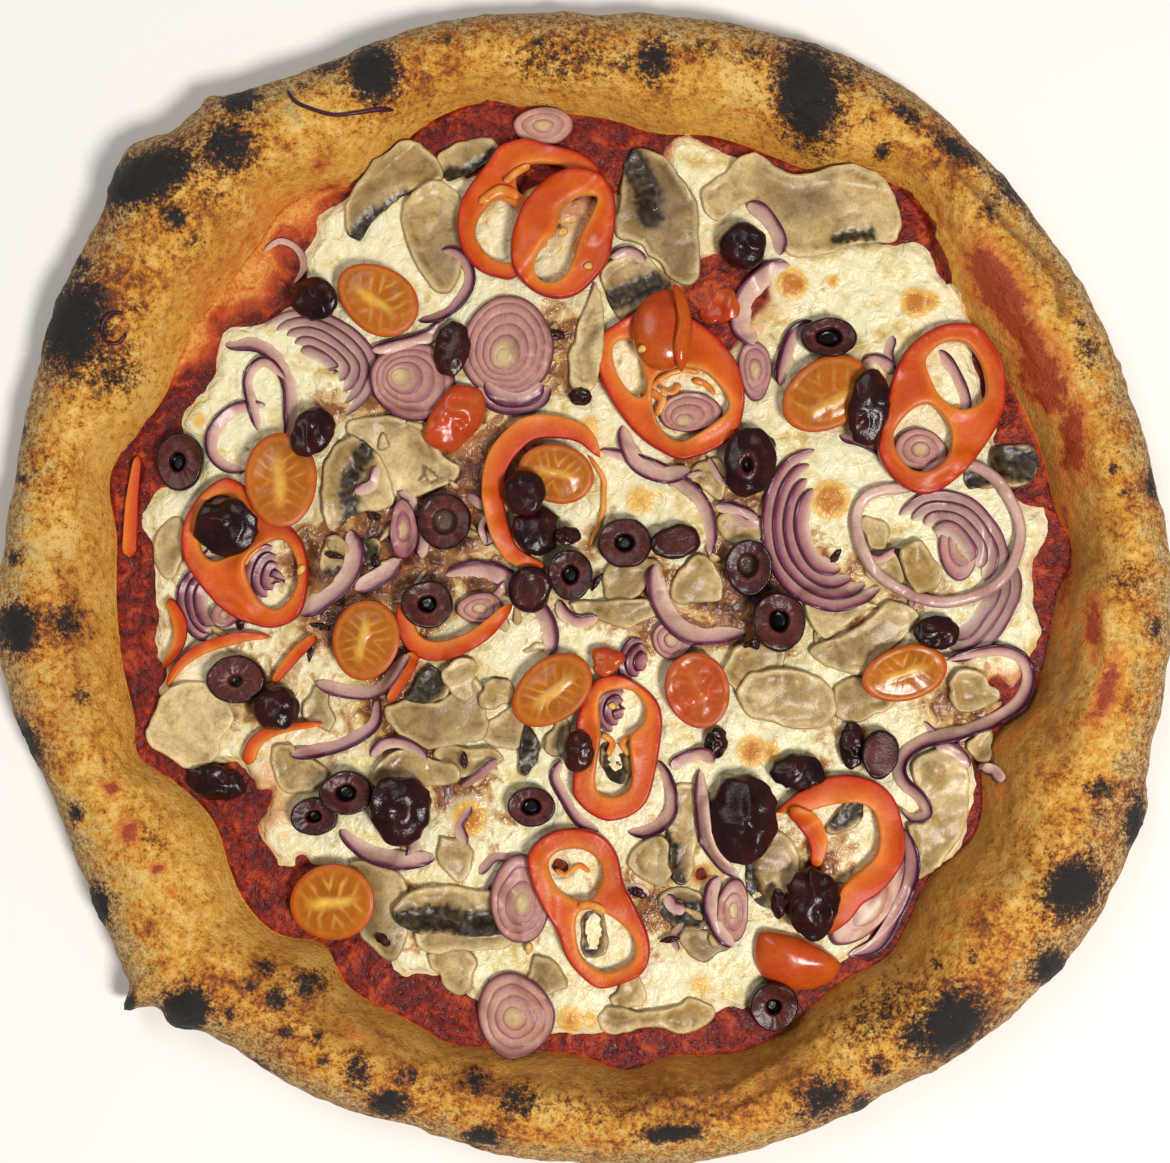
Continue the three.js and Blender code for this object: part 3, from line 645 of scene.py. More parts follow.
# Sauce that stained or covered the rim: x, y, length, width, turn, strength.
STAINS = [
    (218, 288, 150, 84, 50, 0.55), (262, 224, 120, 60, 50, 0.62), (320, 165, 20, 24, 60, 0.8),
    (330, 190, 60, 24, 20, 0.9), (180, 380, 70, 30, 62, 0.8), (745, 112, 70, 20, -10, 0.5),
    (1000, 292, 150, 56, -58, 1.25), (1042, 372, 130, 60, -66, 1.2), (1072, 440, 44, 120, 0, 1.1),
    (1106, 690, 30, 90, -15, 1.1), (1094, 625, 30, 80, 0, 1.05), (990, 800, 60, 20, 40, 0.6),
    (962, 905, 60, 16, 10, 0.6), (945, 934, 26, 10, 0, 0.6), (110, 789, 26, 18, -30, 1.0),
    (128, 834, 30, 36, -40, 1.1), (156, 869, 24, 22, -40, 0.9), (170, 892, 20, 22, -60, 0.6),
    (162, 789, 20, 12, 0, 0.6), (355, 1034, 34, 14, -30, 0.7), (1064, 560, 30, 220, 0, 0.85),
    (940, 215, 60, 30, -45, 0.55), (1010, 740, 90, 24, 50, 0.7), (560, 90, 200, 26, 0, 0.35),
    (650, 1066, 240, 26, 0, 0.45), (130, 620, 24, 240, 0, 0.35),
]
# Where the rim's foot is painted darker: direction, width and strength.
DARKER_FOOT_PLACES = [(2, 26, 0.55), (272, 26, 0.6), (318, 16, 0.25), (340, 14, 0.3), (240, 10, 0.2)]
# Folds of the rim: places along the fold, width and depth (negative stands up).
FOLDS = [
    ([(950, 166), (985, 198), (1012, 228), (1040, 252), (1060, 282), (1063, 312)], 1.5, 1.5),
    ([(962, 160), (1000, 190), (1030, 222), (1052, 248), (1074, 284)], 3.0, -0.9),
    ([(597, 1140), (630, 1120), (670, 1103), (730, 1094), (769, 1065)], 2.2, -1.0),
    ([(640, 1118), (690, 1110), (740, 1100), (790, 1072)], 1.6, 0.8),
    ([(800, 1116), (860, 1084), (920, 1054), (965, 1036)], 2.4, -0.9),
    ([(880, 1090), (940, 1060), (1000, 1010)], 2.0, 0.7),
    ([(60, 560), (75, 600), (78, 660), (70, 720)], 5.0, 0.5),
    ([(300, 1000), (350, 1036), (400, 1060)], 3.5, 0.5),
]


def elliptic(photo, x, y, long, wide, turn):
    """1 in the middle of an elliptic spot, and falling to 0 around its edge."""
    away = turned_by((photo - (x, y)) * (1, -1), -turn)
    return np.exp(-(np.hypot(away[:, 0] / long * 2, away[:, 1] / wide * 2) ** SPOT_POWER))


def dough_section(degrees):
    """Half sections of the dough, one row for each point from under the middle, round the rim, to the top."""
    outer, foot, height = outer_radius(degrees), foot_radius(degrees), rim_height(degrees)
    crest = foot + CREST_PLACE * (outer - foot)
    edge = crest + UNDERSIDE_PLACE * (outer - crest)
    widest = WIDEST_PLACE * height
    rows = []
    for part in np.linspace(0.08, 1.0, 12) ** 0.7:
        rows.append((edge * part, 0.0 * edge, 0.0))
    for angle in np.linspace(0, np.pi / 2, 15)[1:]:
        rows.append((edge + (outer - edge) * np.sin(angle), widest * (1 - np.cos(angle)), np.sin(angle)))
    for angle in np.linspace(0, np.pi / 2, 26)[1:]:
        rows.append((crest + (outer - crest) * np.cos(angle), widest + (height - widest) * np.sin(angle),
                     1 + angle * 2 / np.pi))
    for inward in np.linspace(0, 1, 32)[1:]:
        fall = np.cos(np.pi / 2 * inward) ** 0.8 if inward < 1 else 0.0
        rows.append((crest - (crest - foot) * inward, BASE_THICKNESS + (height - BASE_THICKNESS) * fall,
                     2 + inward))
    for part in (0.97, 0.9, 0.7, 0.35, 0.1):
        rows.append((foot * part, 0.0 * foot + BASE_THICKNESS, 3.0))
    radius, z, zone = zip(*rows)
    return np.array(radius), np.array(z), np.array(zone)


CRUST_DIRECTIONS = 920


def make_crust():
    degrees = 360.0 * np.arange(CRUST_DIRECTIONS) / CRUST_DIRECTIONS
    radius, z, zone = dough_section(degrees)
    rows = len(zone)
    x = SHIFT[0] + radius * np.cos(np.radians(degrees))
    y = SHIFT[1] + radius * np.sin(np.radians(degrees))
    points = np.stack((x, y, z), axis=2)
    along = np.gradient(points, axis=0)
    around = np.roll(points, -1, axis=1) - np.roll(points, 1, axis=1)
    normal = np.cross(around, along)
    normal /= np.linalg.norm(normal, axis=2)[:, :, None] + 1e-9
    points, normal = points.reshape(-1, 3), normal.reshape(-1, 3)
    zone = np.repeat(zone, CRUST_DIRECTIONS)
    photo = to_photo(points)
    char = np.zeros(len(points))
    rise = np.zeros(len(points))
    for x, y, long, wide, turn, strength, tall in CHAR_SPOTS:
        near = np.hypot(photo[:, 0] - x, photo[:, 1] - y) < max(long, wide) * 1.6
        near &= zone > 0.3
        here = elliptic(photo[near], x, y, long * 1.12, wide * 1.12, turn)
        char[near] = np.maximum(char[near], strength * here)
        rise[near] += tall * here ** 1.5
    char *= smoothstep(0.62, 1.2, zone + 0.3 * noise(points, 7, 10) + 0.15 * noise(points, 3, 11))
    stain = np.zeros(len(points))
    for x, y, long, wide, turn, strength in STAINS:
        stain = np.maximum(stain, strength * elliptic(photo, x, y, long, wide, turn) * (zone > 1.2))
    # How much darker the foot is painted in each direction.
    darker_foot = bulge(direction_of(points), DARKER_FOOT_PLACES) * smoothstep(2.0, 2.7, zone + 0.25 * noise(points, 9, 12))
    fold = np.zeros(len(points))
    for path, wide, deep in FOLDS:
        line = resample(spline(path, False), 6, False)
        near = inside_box(photo, line, 40) & (zone > 0.9)
        away = distance_to(photo[near], line, False) * MM_PER_PIXEL
        fold[near] -= deep * np.exp(-((away / wide) ** 2))
    on_rim = smoothstep(0.1, 0.7, zone) * (1 - smoothstep(2.62, 3.0, zone))
    lumps = 0.6 * noise(points, 24, 1) + 0.5 * noise(points, 11, 2) + 0.35 * noise(points, 6, 3)
    crinkled = smoothstep(1.7, 2.2, zone)
    creases = 0.85 * (np.abs(noise(points, 6.5, 8)) + 0.7 * np.abs(noise(points, 3.4, 9)) - 0.3) * crinkled
    wrinkles = 0.26 * noise(points, 3.2, 4) + 0.14 * noise(points, 1.7, 5) + creases
    crackle = 0.35 * noise(points, 1.5, 6) * smoothstep(0.5, 1.0, char)
    ragged = 0.35 * noise(points, 3.0, 7) * np.exp(-((zone - 1.0) / 0.3) ** 2)
    move = on_rim * (lumps + wrinkles + crackle + ragged + rise + fold + blisters(points, zone))
    points = points + normal * move[:, None]
    points[:, 2] = np.maximum(points[:, 2], 0.0)
    points[zone == 0.0, 2] = 0.0
    faces = grid_faces(rows, CRUST_DIRECTIONS)
    count = len(points)
    faces += fans(0, count - CRUST_DIRECTIONS, CRUST_DIRECTIONS, count, count + 1)
    points = np.vstack((points, (*SHIFT, 0.0), (*SHIFT, BASE_THICKNESS)))

    def pad(values):
        return np.append(values, (0.0, 0.0))

    crust = Heap()
    crust.add(points, faces, char=pad(char), stain=pad(stain), zone=pad(zone), darker_foot=pad(darker_foot),
              fold=pad(np.clip(-fold, 0, 2)))
    crust.make("dough", crust_look(), "crust", ["crust"])
    return points[pad(zone) > 0.9]


def inside_box(points, line, margin):
    low, high = line.min(0) - margin, line.max(0) + margin
    return np.all((points > low) & (points < high), axis=1)


BLISTER_COUNT = 150


def blisters(points, zone):
    """Small air bubbles scattered over the rim."""
    random = np.random.default_rng(5)
    total = np.zeros(len(points))
    degrees = direction_of(points)
    for _ in range(BLISTER_COUNT):
        at, place = random.uniform(0, 360), random.uniform(1.1, 2.85)
        size, tall = random.uniform(1.6, 5.5), random.uniform(0.15, 0.55)
        away = (degrees - at + 540) % 360 - 180
        near = (np.abs(away) < 4) & (np.abs(zone - place) < 0.6)
        across = away[near] * 2.5
        along = (zone[near] - place) * 17.0
        total[near] += tall * np.exp(-(np.hypot(across, along) / size) ** 2.6)
    return total


def crust_look():
    look = Look("dough", 0.75)
    char, stain = look.attribute("char"), look.attribute("stain")
    zone, fold = look.attribute("zone"), look.attribute("fold")
    grain = look.noise(0.7, 3, 0.7)
    freckle = look.noise(1.9, 4, 0.65)
    mottle = look.noise(6.5, 4, 0.65, 0.6)
    patches = look.noise(24.0, 2, 0.5)
    baked = look.total((mottle, 0.9), (freckle, 0.95), (grain, 0.5), (patches, 0.7), (char, 0.22))
    colour = look.ramp(look.step(baked, 1.2, 1.96), [
        (0.0, (242, 200, 116)), (0.26, (228, 170, 70)), (0.5, (210, 142, 42)), (0.7, (186, 106, 26)),
        (0.86, (146, 76, 22)), (1.0, (92, 46, 18))])
    # The outer wall is floury, grey and granular.
    wall = look.step(look.vary(zone, mottle, 1.6), 1.95, 1.35)
    dust = look.ramp(look.step(look.total(grain, (freckle, 0.8)), 0.68, 1.12),
                     [(0.0, (206, 182, 132)), (0.45, (166, 128, 76)), (1.0, (66, 44, 26))])
    colour = look.mix(look.math("MULTIPLY", wall, 0.8), colour, dust)
    under = look.step(zone, 0.35, 0.0)
    bottom = look.ramp(look.total((mottle, 0.8), (freckle, 0.3)), [
        (0.3, (226, 196, 142)), (0.5, (206, 160, 96)), (0.66, (142, 92, 48)), (0.8, (52, 34, 22))])
    colour = look.mix(under, colour, bottom)
    # The foot of the rim, beside the sauce, is oily and golden, and painted darker towards the right and the
    # bottom.
    foot = look.step(zone, 2.2, 2.9)
    colour = look.mix(look.math("MULTIPLY", foot, 0.55), colour, rgb(222, 160, 58))
    colour = look.mix(look.attribute("darker_foot"), colour, rgb(146, 86, 30))
    # Painted shade: the grooves of the folds are darkened brown.
    colour = look.mix(look.math("MULTIPLY", fold, 0.5), colour, rgb(120, 66, 28))
    # Sauce stains.
    stained = look.vary(look.vary(stain, mottle, 1.2), freckle, 0.5)
    colour = look.mix(look.step(stained, 0.2, 0.75, 0.0, 0.75), colour, rgb(216, 118, 38))
    colour = look.mix(look.step(stained, 0.66, 0.95, 0.0, 0.85), colour, rgb(158, 44, 20))
    # Burnt places: brown freckled rings, then black.
    speckled = look.vary(look.vary(char, freckle, 1.7), grain, 1.2)
    colour = look.mix(look.step(speckled, 0.16, 0.6, 0.0, 0.85), colour, rgb(112, 62, 28))
    colour = look.mix(look.step(speckled, 0.42, 0.78), colour, rgb(26, 18, 14))
    ash = look.math("MULTIPLY", look.step(grain, 0.56, 0.75), look.step(char, 0.5, 0.9))
    colour = look.mix(look.math("MULTIPLY", ash, 0.25), colour, rgb(92, 72, 58))
    look.set("Base Color", colour)
    look.set("Roughness", look.step(stained, 0.6, 0.95, 0.75, 0.4))
    look.bump(freckle, 1.0, 0.9)
    look.bump(grain, 0.45, 0.9)
    return look.material


# ---------------------------------------------------------------- sauce
SAUCE_RINGS = 150
SAUCE_DIRECTIONS = 330
SAUCE_FLOOR = BASE_THICKNESS - 0.6
# Sauce that ran up the rim: direction, width, reach.
SAUCE_RUNS = [(160, 5, 2), (352, 9, 2), (45, 7, 6), (318, 8, 1), (205, 14, 1.5), (95, 16, 1), (60, 5, 1)]

# Where the sauce is thin and orange: x, y, size, strength.
SAUCE_THIN = [
    (285, 192, 110, 1.6), (232, 262, 120, 1.7), (185, 335, 80, 1.4), (1000, 340, 90, 0.5),
    (1040, 420, 70, 0.5), (560, 120, 120, 0.4), (700, 290, 90, 0.7), (150, 640, 60, 0.4),
    (240, 840, 60, 0.3),
]


def make_sauce():
    degrees = 360.0 * np.arange(SAUCE_DIRECTIONS) / SAUCE_DIRECTIONS
    limit = foot_radius(degrees) + 3.0 + bulge(degrees, SAUCE_RUNS)
    reach = np.linspace(0.03, 1.0, SAUCE_RINGS) ** 0.62
    radius = reach[:, None] * limit[None]
    xy = np.stack((SHIFT[0] + radius * np.cos(np.radians(degrees)),
                   SHIFT[1] + radius * np.sin(np.radians(degrees))), axis=2).reshape(-1, 2)
    top, climb = dough_top(xy)
    run = np.tile(bulge(degrees, SAUCE_RUNS), SAUCE_RINGS)
    ragged = 1.2 * fbm(flat(xy), 9, 4, 20) + 0.5 * run
    film = 2.6 * smoothstep(1.4 + ragged, -2.0 + ragged, climb) - 2.0
    level = SAUCE_LEVEL + 0.3 * fbm(flat(xy), 12, 3, 21)
    pulp = 0.22 * noise(flat(xy), 2.4, 22) + 0.12 * noise(flat(xy), 1.2, 23)
    pulp += 0.5 * np.clip(spot(xy, SAUCE_THIN, 6), 0, 1) * fbm(flat(xy), 5.5, 3, 24)
    height = np.maximum(top + film, level - 3.0 * smoothstep(-0.5, 2.0, climb)) + pulp
    edge = np.repeat(reach == 1.0, SAUCE_DIRECTIONS)
    height = np.where(edge, top - 2.6, height)
    thin = 0.8 * smoothstep(-3.0, 1.5, climb - 0.6 * ragged) + spot(xy, SAUCE_THIN, 6)
    # The underside needs only a few rings: it is hidden in the dough.
    low = np.column_stack((xy, np.minimum(top - 3.0, SAUCE_FLOOR)))
    rings = (SAUCE_RINGS - 1, SAUCE_RINGS - 8, SAUCE_RINGS // 2)
    under = np.vstack([low[r * SAUCE_DIRECTIONS:(r + 1) * SAUCE_DIRECTIONS] for r in rings])
    points = np.vstack((np.column_stack((xy, height)), under))
    count = len(points)
    faces = grid_faces(SAUCE_RINGS + len(rings), SAUCE_DIRECTIONS)
    faces += fans(0, count - SAUCE_DIRECTIONS, SAUCE_DIRECTIONS, count, count + 1)
    points = np.vstack((points, (*SHIFT, SAUCE_LEVEL), (*SHIFT, SAUCE_FLOOR)))
    sauce = Heap()
    sauce.add(points, [face[::-1] for face in faces], thin=np.append(thin, np.zeros(len(under) + 2)))
    return sauce.make("tomato_sauce_layer", sauce_look(), "sauce", ["tomato_sauce"])


def sauce_height(xy):
    top, climb = dough_top(xy)
    return np.maximum(top, SAUCE_LEVEL - 3.0 * smoothstep(-0.5, 2.0, climb))


def sauce_look():
    look = Look("tomato sauce", 0.4, Specular_IOR_Level=0.3)
    thin = look.attribute("thin")
    pulp = look.noise(1.8, 3, 0.65, 0.5)
    clots = look.noise(6.0, 3, 0.6, 0.8)
    tone = look.total((clots, 0.55), (pulp, 0.45))
    colour = look.ramp(look.step(tone, 0.34, 0.68), [
        (0.0, (70, 9, 4)), (0.35, (104, 18, 6)), (0.68, (138, 31, 9)), (1.0, (182, 72, 26))])
    thinner = look.vary(thin, clots, 0.8)
    colour = look.mix(look.step(thinner, 0.45, 1.1, 0.0, 0.8), colour, rgb(208, 86, 26))
    grain = look.noise(0.9, 3, 0.7)
    bare = look.total((tone, 0.6), (grain, 0.4))
    stained = look.ramp(look.step(bare, 0.32, 0.7), [
        (0.0, (236, 178, 92)), (0.4, (228, 152, 66)), (0.7, (214, 120, 44)), (1.0, (184, 74, 24))])
    colour = look.mix(look.step(thinner, 0.9, 1.3), colour, stained)
    look.set("Base Color", colour)
    look.set("Roughness", look.step(pulp, 0.35, 0.65, 0.3, 0.6))
    look.bump(clots, 1.2, 0.8)
    look.bump(pulp, 0.8, 1.0)
    return look.material


# ---------------------------------------------------------------- cheese
CHEESE_OUTLINE = [
    (345, 200), (322, 215), (318, 235), (305, 255), (306, 272), (300, 300), (262, 325), (228, 330),
    (215, 370), (205, 395), (190, 405), (182, 430), (205, 445), (165, 490), (150, 505), (143, 525),
    (160, 560), (160, 650), (174, 670), (160, 690), (180, 735), (205, 765), (245, 772), (262, 825),
    (275, 850), (285, 868), (330, 862), (383, 949), (400, 975), (442, 979), (487, 1011), (552, 1035),
    (600, 1035), (660, 1022), (720, 1005), (750, 1008), (765, 985), (800, 972), (840, 960), (900, 900),
    (960, 840), (980, 740), (1030, 655), (1040, 640), (1033, 600), (1035, 570), (1046, 545), (1048, 512),
    (1020, 505), (1000, 470), (985, 400), (975, 350), (968, 312), (955, 295), (940, 275), (935, 250),
    (900, 243), (870, 238), (845, 240), (800, 220), (750, 170), (700, 140), (680, 135), (668, 150),
    (660, 200), (600, 190), (560, 185), (500, 190), (440, 170), (390, 180),
]
# Where the sauce or juice shows through: x, y, size, strength.
CHEESE_GAPS = [
    (722, 290, 84, 1.3), (712, 332, 62, 1.2), (560, 168, 60, 1.3), (600, 170, 50, 1.2), (520, 175, 50, 1.2),
    (263, 800, 60, 1.0), (430, 150, 60, 1.2), (700, 876, 26, 0.9), (813, 866, 26, 0.9), (998, 690, 36, 1.0),
    (640, 170, 50, 1.0), (475, 415, 40, 0.7), (300, 860, 26, 0.7), (560, 870, 34, 0.9), (700, 400, 30, 0.6),
    (930, 450, 40, 0.8), (720, 620, 30, 0.5), (990, 560, 20, 0.5), (905, 880, 60, 1.1), (760, 590, 40, 0.7),
    (400, 640, 24, 0.4),
]
# Browned blisters: x, y, size, strength.
CHEESE_BLISTERS = [
    (792, 284, 32, 1.3), (915, 303, 32, 1.2), (929, 302, 26, 0.9), (833, 281, 16, 0.9), (830, 500, 40, 1.3),
    (640, 500, 40, 0.75), (660, 495, 26, 0.5), (590, 425, 28, 0.7), (470, 818, 36, 1.2),
    (752, 751, 34, 1.1), (770, 752, 26, 0.9), (718, 748, 44, 0.4), (200, 420, 20, 0.7), (284, 837, 24, 0.5),
    (570, 1019, 34, 0.9), (590, 1019, 26, 0.7), (640, 1000, 30, 0.6), (700, 985, 40, 0.6),
    (1015, 623, 24, 0.5), (680, 950, 40, 0.4), (600, 310, 30, 0.4), (866, 296, 26, 0.3),
]
# Where brown juice soaked the cheese, and where red oil did.
CHEESE_JUICE = [
    (400, 540, 220, 0.95), (330, 590, 150, 0.9), (430, 470, 220, 1.0), (560, 350, 130, 0.7),
    (400, 720, 170, 0.8), (640, 590, 140, 0.7), (745, 600, 150, 1.05), (720, 500, 120, 0.7),
    (700, 430, 90, 0.6), (650, 900, 130, 0.6), (880, 610, 170, 0.7), (800, 880, 130, 0.6),
    (450, 420, 110, 0.9), (560, 620, 90, 0.5), (420, 900, 140, 0.6), (540, 970, 80, 0.6),
    (680, 860, 110, 0.6), (460, 785, 110, 0.8), (330, 470, 90, 0.55), (860, 730, 130, 0.5),
    (960, 720, 120, 0.7), (250, 700, 120, 0.6), (330, 420, 110, 0.5), (200, 590, 90, 0.4),
    (770, 340, 70, 0.5), (800, 700, 110, 0.4),
]
CHEESE_RED = [
    (720, 300, 150, 1.0), (560, 190, 130, 0.9), (655, 160, 60, 0.6), (270, 800, 110, 0.8),
    (1000, 690, 70, 0.8), (700, 875, 60, 0.7), (330, 310, 40, 0.2), (455, 420, 100, 0.6),
    (960, 290, 40, 0.4), (905, 880, 110, 0.7), (700, 140, 40, 0.4), (770, 1000, 60, 0.5),
    (430, 160, 90, 0.7), (600, 580, 60, 0.3), (940, 450, 100, 0.35), (1030, 560, 50, 0.3),
]
CHEESE_CELL = 0.9
CHEESE_REACH = 132.0


def cheese_fields(xy):
    """Thickness of the cheese at plan points; it is below zero where there is none."""
    outline = resample(spline(from_photo(CHEESE_OUTLINE, 6), True, 6), 4.0, True)
    away = distance_to(xy, outline) * np.where(inside(xy, outline), 1.0, -1.0)
    p = flat(xy)
    away += 1.6 * fbm(p, 9, 3, 30) + 0.5 * noise(p, 2.5, 33)
    gap = np.zeros(len(xy))
    for x, y, size, strength in CHEESE_GAPS:
        gap = np.maximum(gap, spot(xy, [(x, y, size * 1.25, strength)], 6))
    gap += 0.22 * fbm(p, 7, 3, 34)
    lumps = 0.6 * fbm(p, 20, 3, 35) + 0.42 * noise(p, 5.5, 36) + 0.26 * noise(p, 2.6, 37)
    thickness = CHEESE_THICKNESS * smoothstep(-0.8, 3.2, away) + lumps * smoothstep(0, 4, away)
    thickness = thickness * (1 - 0.9 * smoothstep(0.55, 0.95, gap)) - 1.6 * smoothstep(0.6, 0.95, gap)
    return thickness - 0.9 * smoothstep(0.5, -2.5, away)


def make_cheese():
    side = int(2 * CHEESE_REACH / CHEESE_CELL)
    axis = np.linspace(-1.0, 1.0, side)
    u, v = np.meshgrid(axis, axis)
    # A square grid drawn round, so that its edge is a circle.
    x = CHEESE_REACH * u * np.sqrt(1 - v * v / 2)
    y = CHEESE_REACH * v * np.sqrt(1 - u * u / 2)
    xy = np.column_stack((x.ravel(), y.ravel())) + SHIFT
    thickness = cheese_fields(xy)
    bed = sauce_height(xy)
    p = flat(xy)
    wet = spot(xy, CHEESE_JUICE, 6) + 0.3 * fbm(p, 14, 4, 38)
    red = spot(xy, CHEESE_RED, 6) + 0.2 * fbm(p, 10, 3, 39)
    brown = spot(xy, CHEESE_BLISTERS, 6)
    brown_rise = smoothstep(0.2, 0.8, brown)
    climb = dough_top(xy)[1]
    hidden = 2.0 * smoothstep(-1.0, 1.5, climb) * smoothstep(0.2, -0.4, thickness)
    height = bed + np.maximum(thickness, -1.2) + 0.35 * brown_rise - hidden
    border = np.maximum(np.abs(u), np.abs(v)).ravel() > 1 - 1e-9
    height = np.where(border, bed - 1.5, height)
    points = np.column_stack((xy, height))
    index = np.arange(side * side).reshape(side, side)
    quads = np.stack((index[:-1, :-1], index[:-1, 1:], index[1:, 1:], index[1:, :-1]), axis=2).reshape(-1, 4)
    shows = (thickness > -1.15)[quads].any(axis=1)
    quads = quads[shows]
    edge = smoothstep(1.6, 0.0, thickness)
    points, faces, source = wall_below(points, quads, bed - 1.6)
    cheese = Heap()
    cheese.add(points, faces, wet=wet[source], red=red[source], brown=brown[source], edge=edge[source])
    return cheese.make("mozzarella_layer", cheese_look(), "cheese", ["mozzarella"])


def wall_below(points, quads, floor):
    """A wall from a sheet's border down to the floor height, where it ends inside the sauce and the dough.
    Returns points, faces and, for each point, the one that it was made from."""
    used, corner = np.unique(quads, return_inverse=True)
    corner = corner.reshape(quads.shape)
    count = len(used)
    edges = np.vstack([np.column_stack((corner[:, k], corner[:, (k + 1) % 4])) for k in range(4)])
    forward = edges[:, 0] * count + edges[:, 1]
    back = edges[:, 1] * count + edges[:, 0]
    border = edges[~np.isin(forward, back)]
    low, place = np.unique(border, return_inverse=True)
    place = place.reshape(border.shape) + count
    wall = np.column_stack((border[:, ::-1], place))
    lowered = np.column_stack((points[used[low], :2], floor[used[low]]))
    faces = corner.tolist() + wall.tolist()
    return np.vstack((points[used], lowered)), faces, np.concatenate((used, used[low]))


def cheese_look():
    look = Look("melted mozzarella", 0.42, Specular_IOR_Level=0.5)
    wet, red = look.attribute("wet"), look.attribute("red")
    brown, edge = look.attribute("brown"), look.attribute("edge")
    curd = look.noise(3.6, 3, 0.5, 0.5)
    cloud = look.noise(11.0, 4, 0.55, 0.6)
    fine = look.noise(1.0, 4, 0.6)
    tone = look.total((cloud, 0.6), (curd, 0.4))
    colour = look.ramp(tone, [(0.33, (210, 176, 100)), (0.42, (230, 210, 148)), (0.5, (242, 231, 188))])
    soaked = look.vary(look.vary(wet, cloud, 1.1), curd, 1.0)
    colour = look.mix(look.step(soaked, 0.36, 0.56, 0.0, 0.8), colour, rgb(192, 138, 62))
    colour = look.mix(look.step(soaked, 0.54, 0.74, 0.0, 0.9), colour, rgb(134, 74, 26))
    colour = look.mix(look.step(soaked, 0.78, 1.0, 0.0, 0.85), colour, rgb(72, 30, 12))
    oily = look.total(look.vary(red, curd, 0.9), (edge, 0.35))
    colour = look.mix(look.step(oily, 0.3, 0.8, 0.0, 0.7), colour, rgb(222, 150, 84))
    colour = look.mix(look.step(oily, 0.65, 1.1, 0.0, 0.85), colour, rgb(172, 66, 30))
    look.set("Roughness", look.step(soaked, 0.3, 0.7, 0.28, 0.1))
    spots = look.vary(brown, fine, 0.25)
    colour = look.mix(look.step(spots, 0.1, 0.3, 0.0, 0.5), colour, rgb(240, 230, 190))
    colour = look.mix(look.step(spots, 0.28, 0.62, 0.0, 0.9), colour, rgb(232, 178, 70))
    colour = look.mix(look.step(spots, 0.62, 1.0, 0.0, 0.9), colour, rgb(192, 112, 26))
    look.set("Base Color", colour)
    look.bump(curd, 1.5, 1.0)
    look.bump(fine, 0.3, 0.7)
    return look.material


# ---------------------------------------------------------------- the surface that toppings lie on
CELL = 0.6                         # of a square map of heights
GROUND_HALF = 170.0
GROUND_SIDE = int(2 * GROUND_HALF / CELL)


def first_ground():
    axis = (np.arange(GROUND_SIDE) + 0.5) * CELL - GROUND_HALF
    x, y = np.meshgrid(axis, axis)
    xy = np.column_stack((x.ravel(), y.ravel()))
    bed = sauce_height(xy)
    near = np.hypot(*(xy - SHIFT).T) < CHEESE_REACH
    cheese = np.full(len(xy), -1.0)
    cheese[near] = cheese_fields(xy[near])
    return (bed + np.maximum(cheese, 0.0)).reshape(GROUND_SIDE, GROUND_SIDE)


def note_dough(points, ground):
    """Writes the heights of the dough's rim, with its wrinkles, into the ground."""
    known = np.full(ground.shape, -np.inf)
    np.maximum.at(known, (cells(points[:, 1]), cells(points[:, 0])), points[:, 2])
    for _ in range(3):
        known = np.where(np.isfinite(known), known, widen(known, 1))
    axis = (np.arange(GROUND_SIDE) + 0.5) * CELL - GROUND_HALF
    x, y = np.meshgrid(axis, axis)
    climb = dough_top(np.column_stack((x.ravel(), y.ravel())))[1].reshape(ground.shape)
    use = np.isfinite(known) & (climb > 2.0)
    ground[use] = known[use]


def cells(values):
    return np.clip(((values + GROUND_HALF) / CELL).astype(int), 1, GROUND_SIDE - 2)


def widen(grid, times):
    for _ in range(times):
        wide = grid.copy()
        wide[1:] = np.maximum(wide[1:], grid[:-1])
        wide[:-1] = np.maximum(wide[:-1], grid[1:])
        wide[:, 1:] = np.maximum(wide[:, 1:], grid[:, :-1])
        wide[:, :-1] = np.maximum(wide[:, :-1], grid[:, 1:])
        grid = wide
    return grid


def blur(grid, times):
    for _ in range(times):
        padded = np.pad(grid, 1, mode="edge")
        grid = (padded[:-2, 1:-1] + padded[2:, 1:-1] + padded[1:-1, :-2] + padded[1:-1, 2:] + 2 * grid) / 6
    return grid


STEEPEST = 0.16                    # slope at which a stiff piece lies at most


def lay(points, bendy, sink, softness):
    """Lays a piece, whose underside is at zero, on the ground, and adds it to the ground."""
    low = cells(points[:, :2].min(0) - 6.0)
    high = cells(points[:, :2].max(0) + 6.0)
    window = ground[low[1]:high[1] + 1, low[0]:high[0] + 1]
    feel = blur(widen(window, 2), softness)
    across = (points[:, 0] + GROUND_HALF) / CELL - 0.5 - low[0]
    down = (points[:, 1] + GROUND_HALF) / CELL - 0.5 - low[1]
    i = np.clip(down.astype(int), 0, feel.shape[0] - 2)
    j = np.clip(across.astype(int), 0, feel.shape[1] - 2)
    s, t = down - i, across - j
    support = ((1 - s) * (1 - t) * feel[i, j] + s * (1 - t) * feel[i + 1, j]
               + (1 - s) * t * feel[i, j + 1] + s * t * feel[i + 1, j + 1])
    feet = np.column_stack((points[:, :2] - points[:, :2].mean(0), np.ones(len(points))))
    plane, *_ = np.linalg.lstsq(feet, support, rcond=None)
    steep = np.hypot(plane[0], plane[1])
    plane[:2] *= min(1.0, STEEPEST / max(steep, 1e-6))
    stiff = feet @ plane
    stiff += np.percentile(support - stiff, 80)
    placed = points.copy()
    placed[:, 2] += bendy * support + (1 - bendy) * stiff - sink
    column, row = cells(placed[:, 0] - CELL / 2), cells(placed[:, 1] - CELL / 2)
    for dy in (0, 1):
        for dx in (0, 1):
            np.maximum.at(ground, (row + dy, column + dx), placed[:, 2])
    return placed


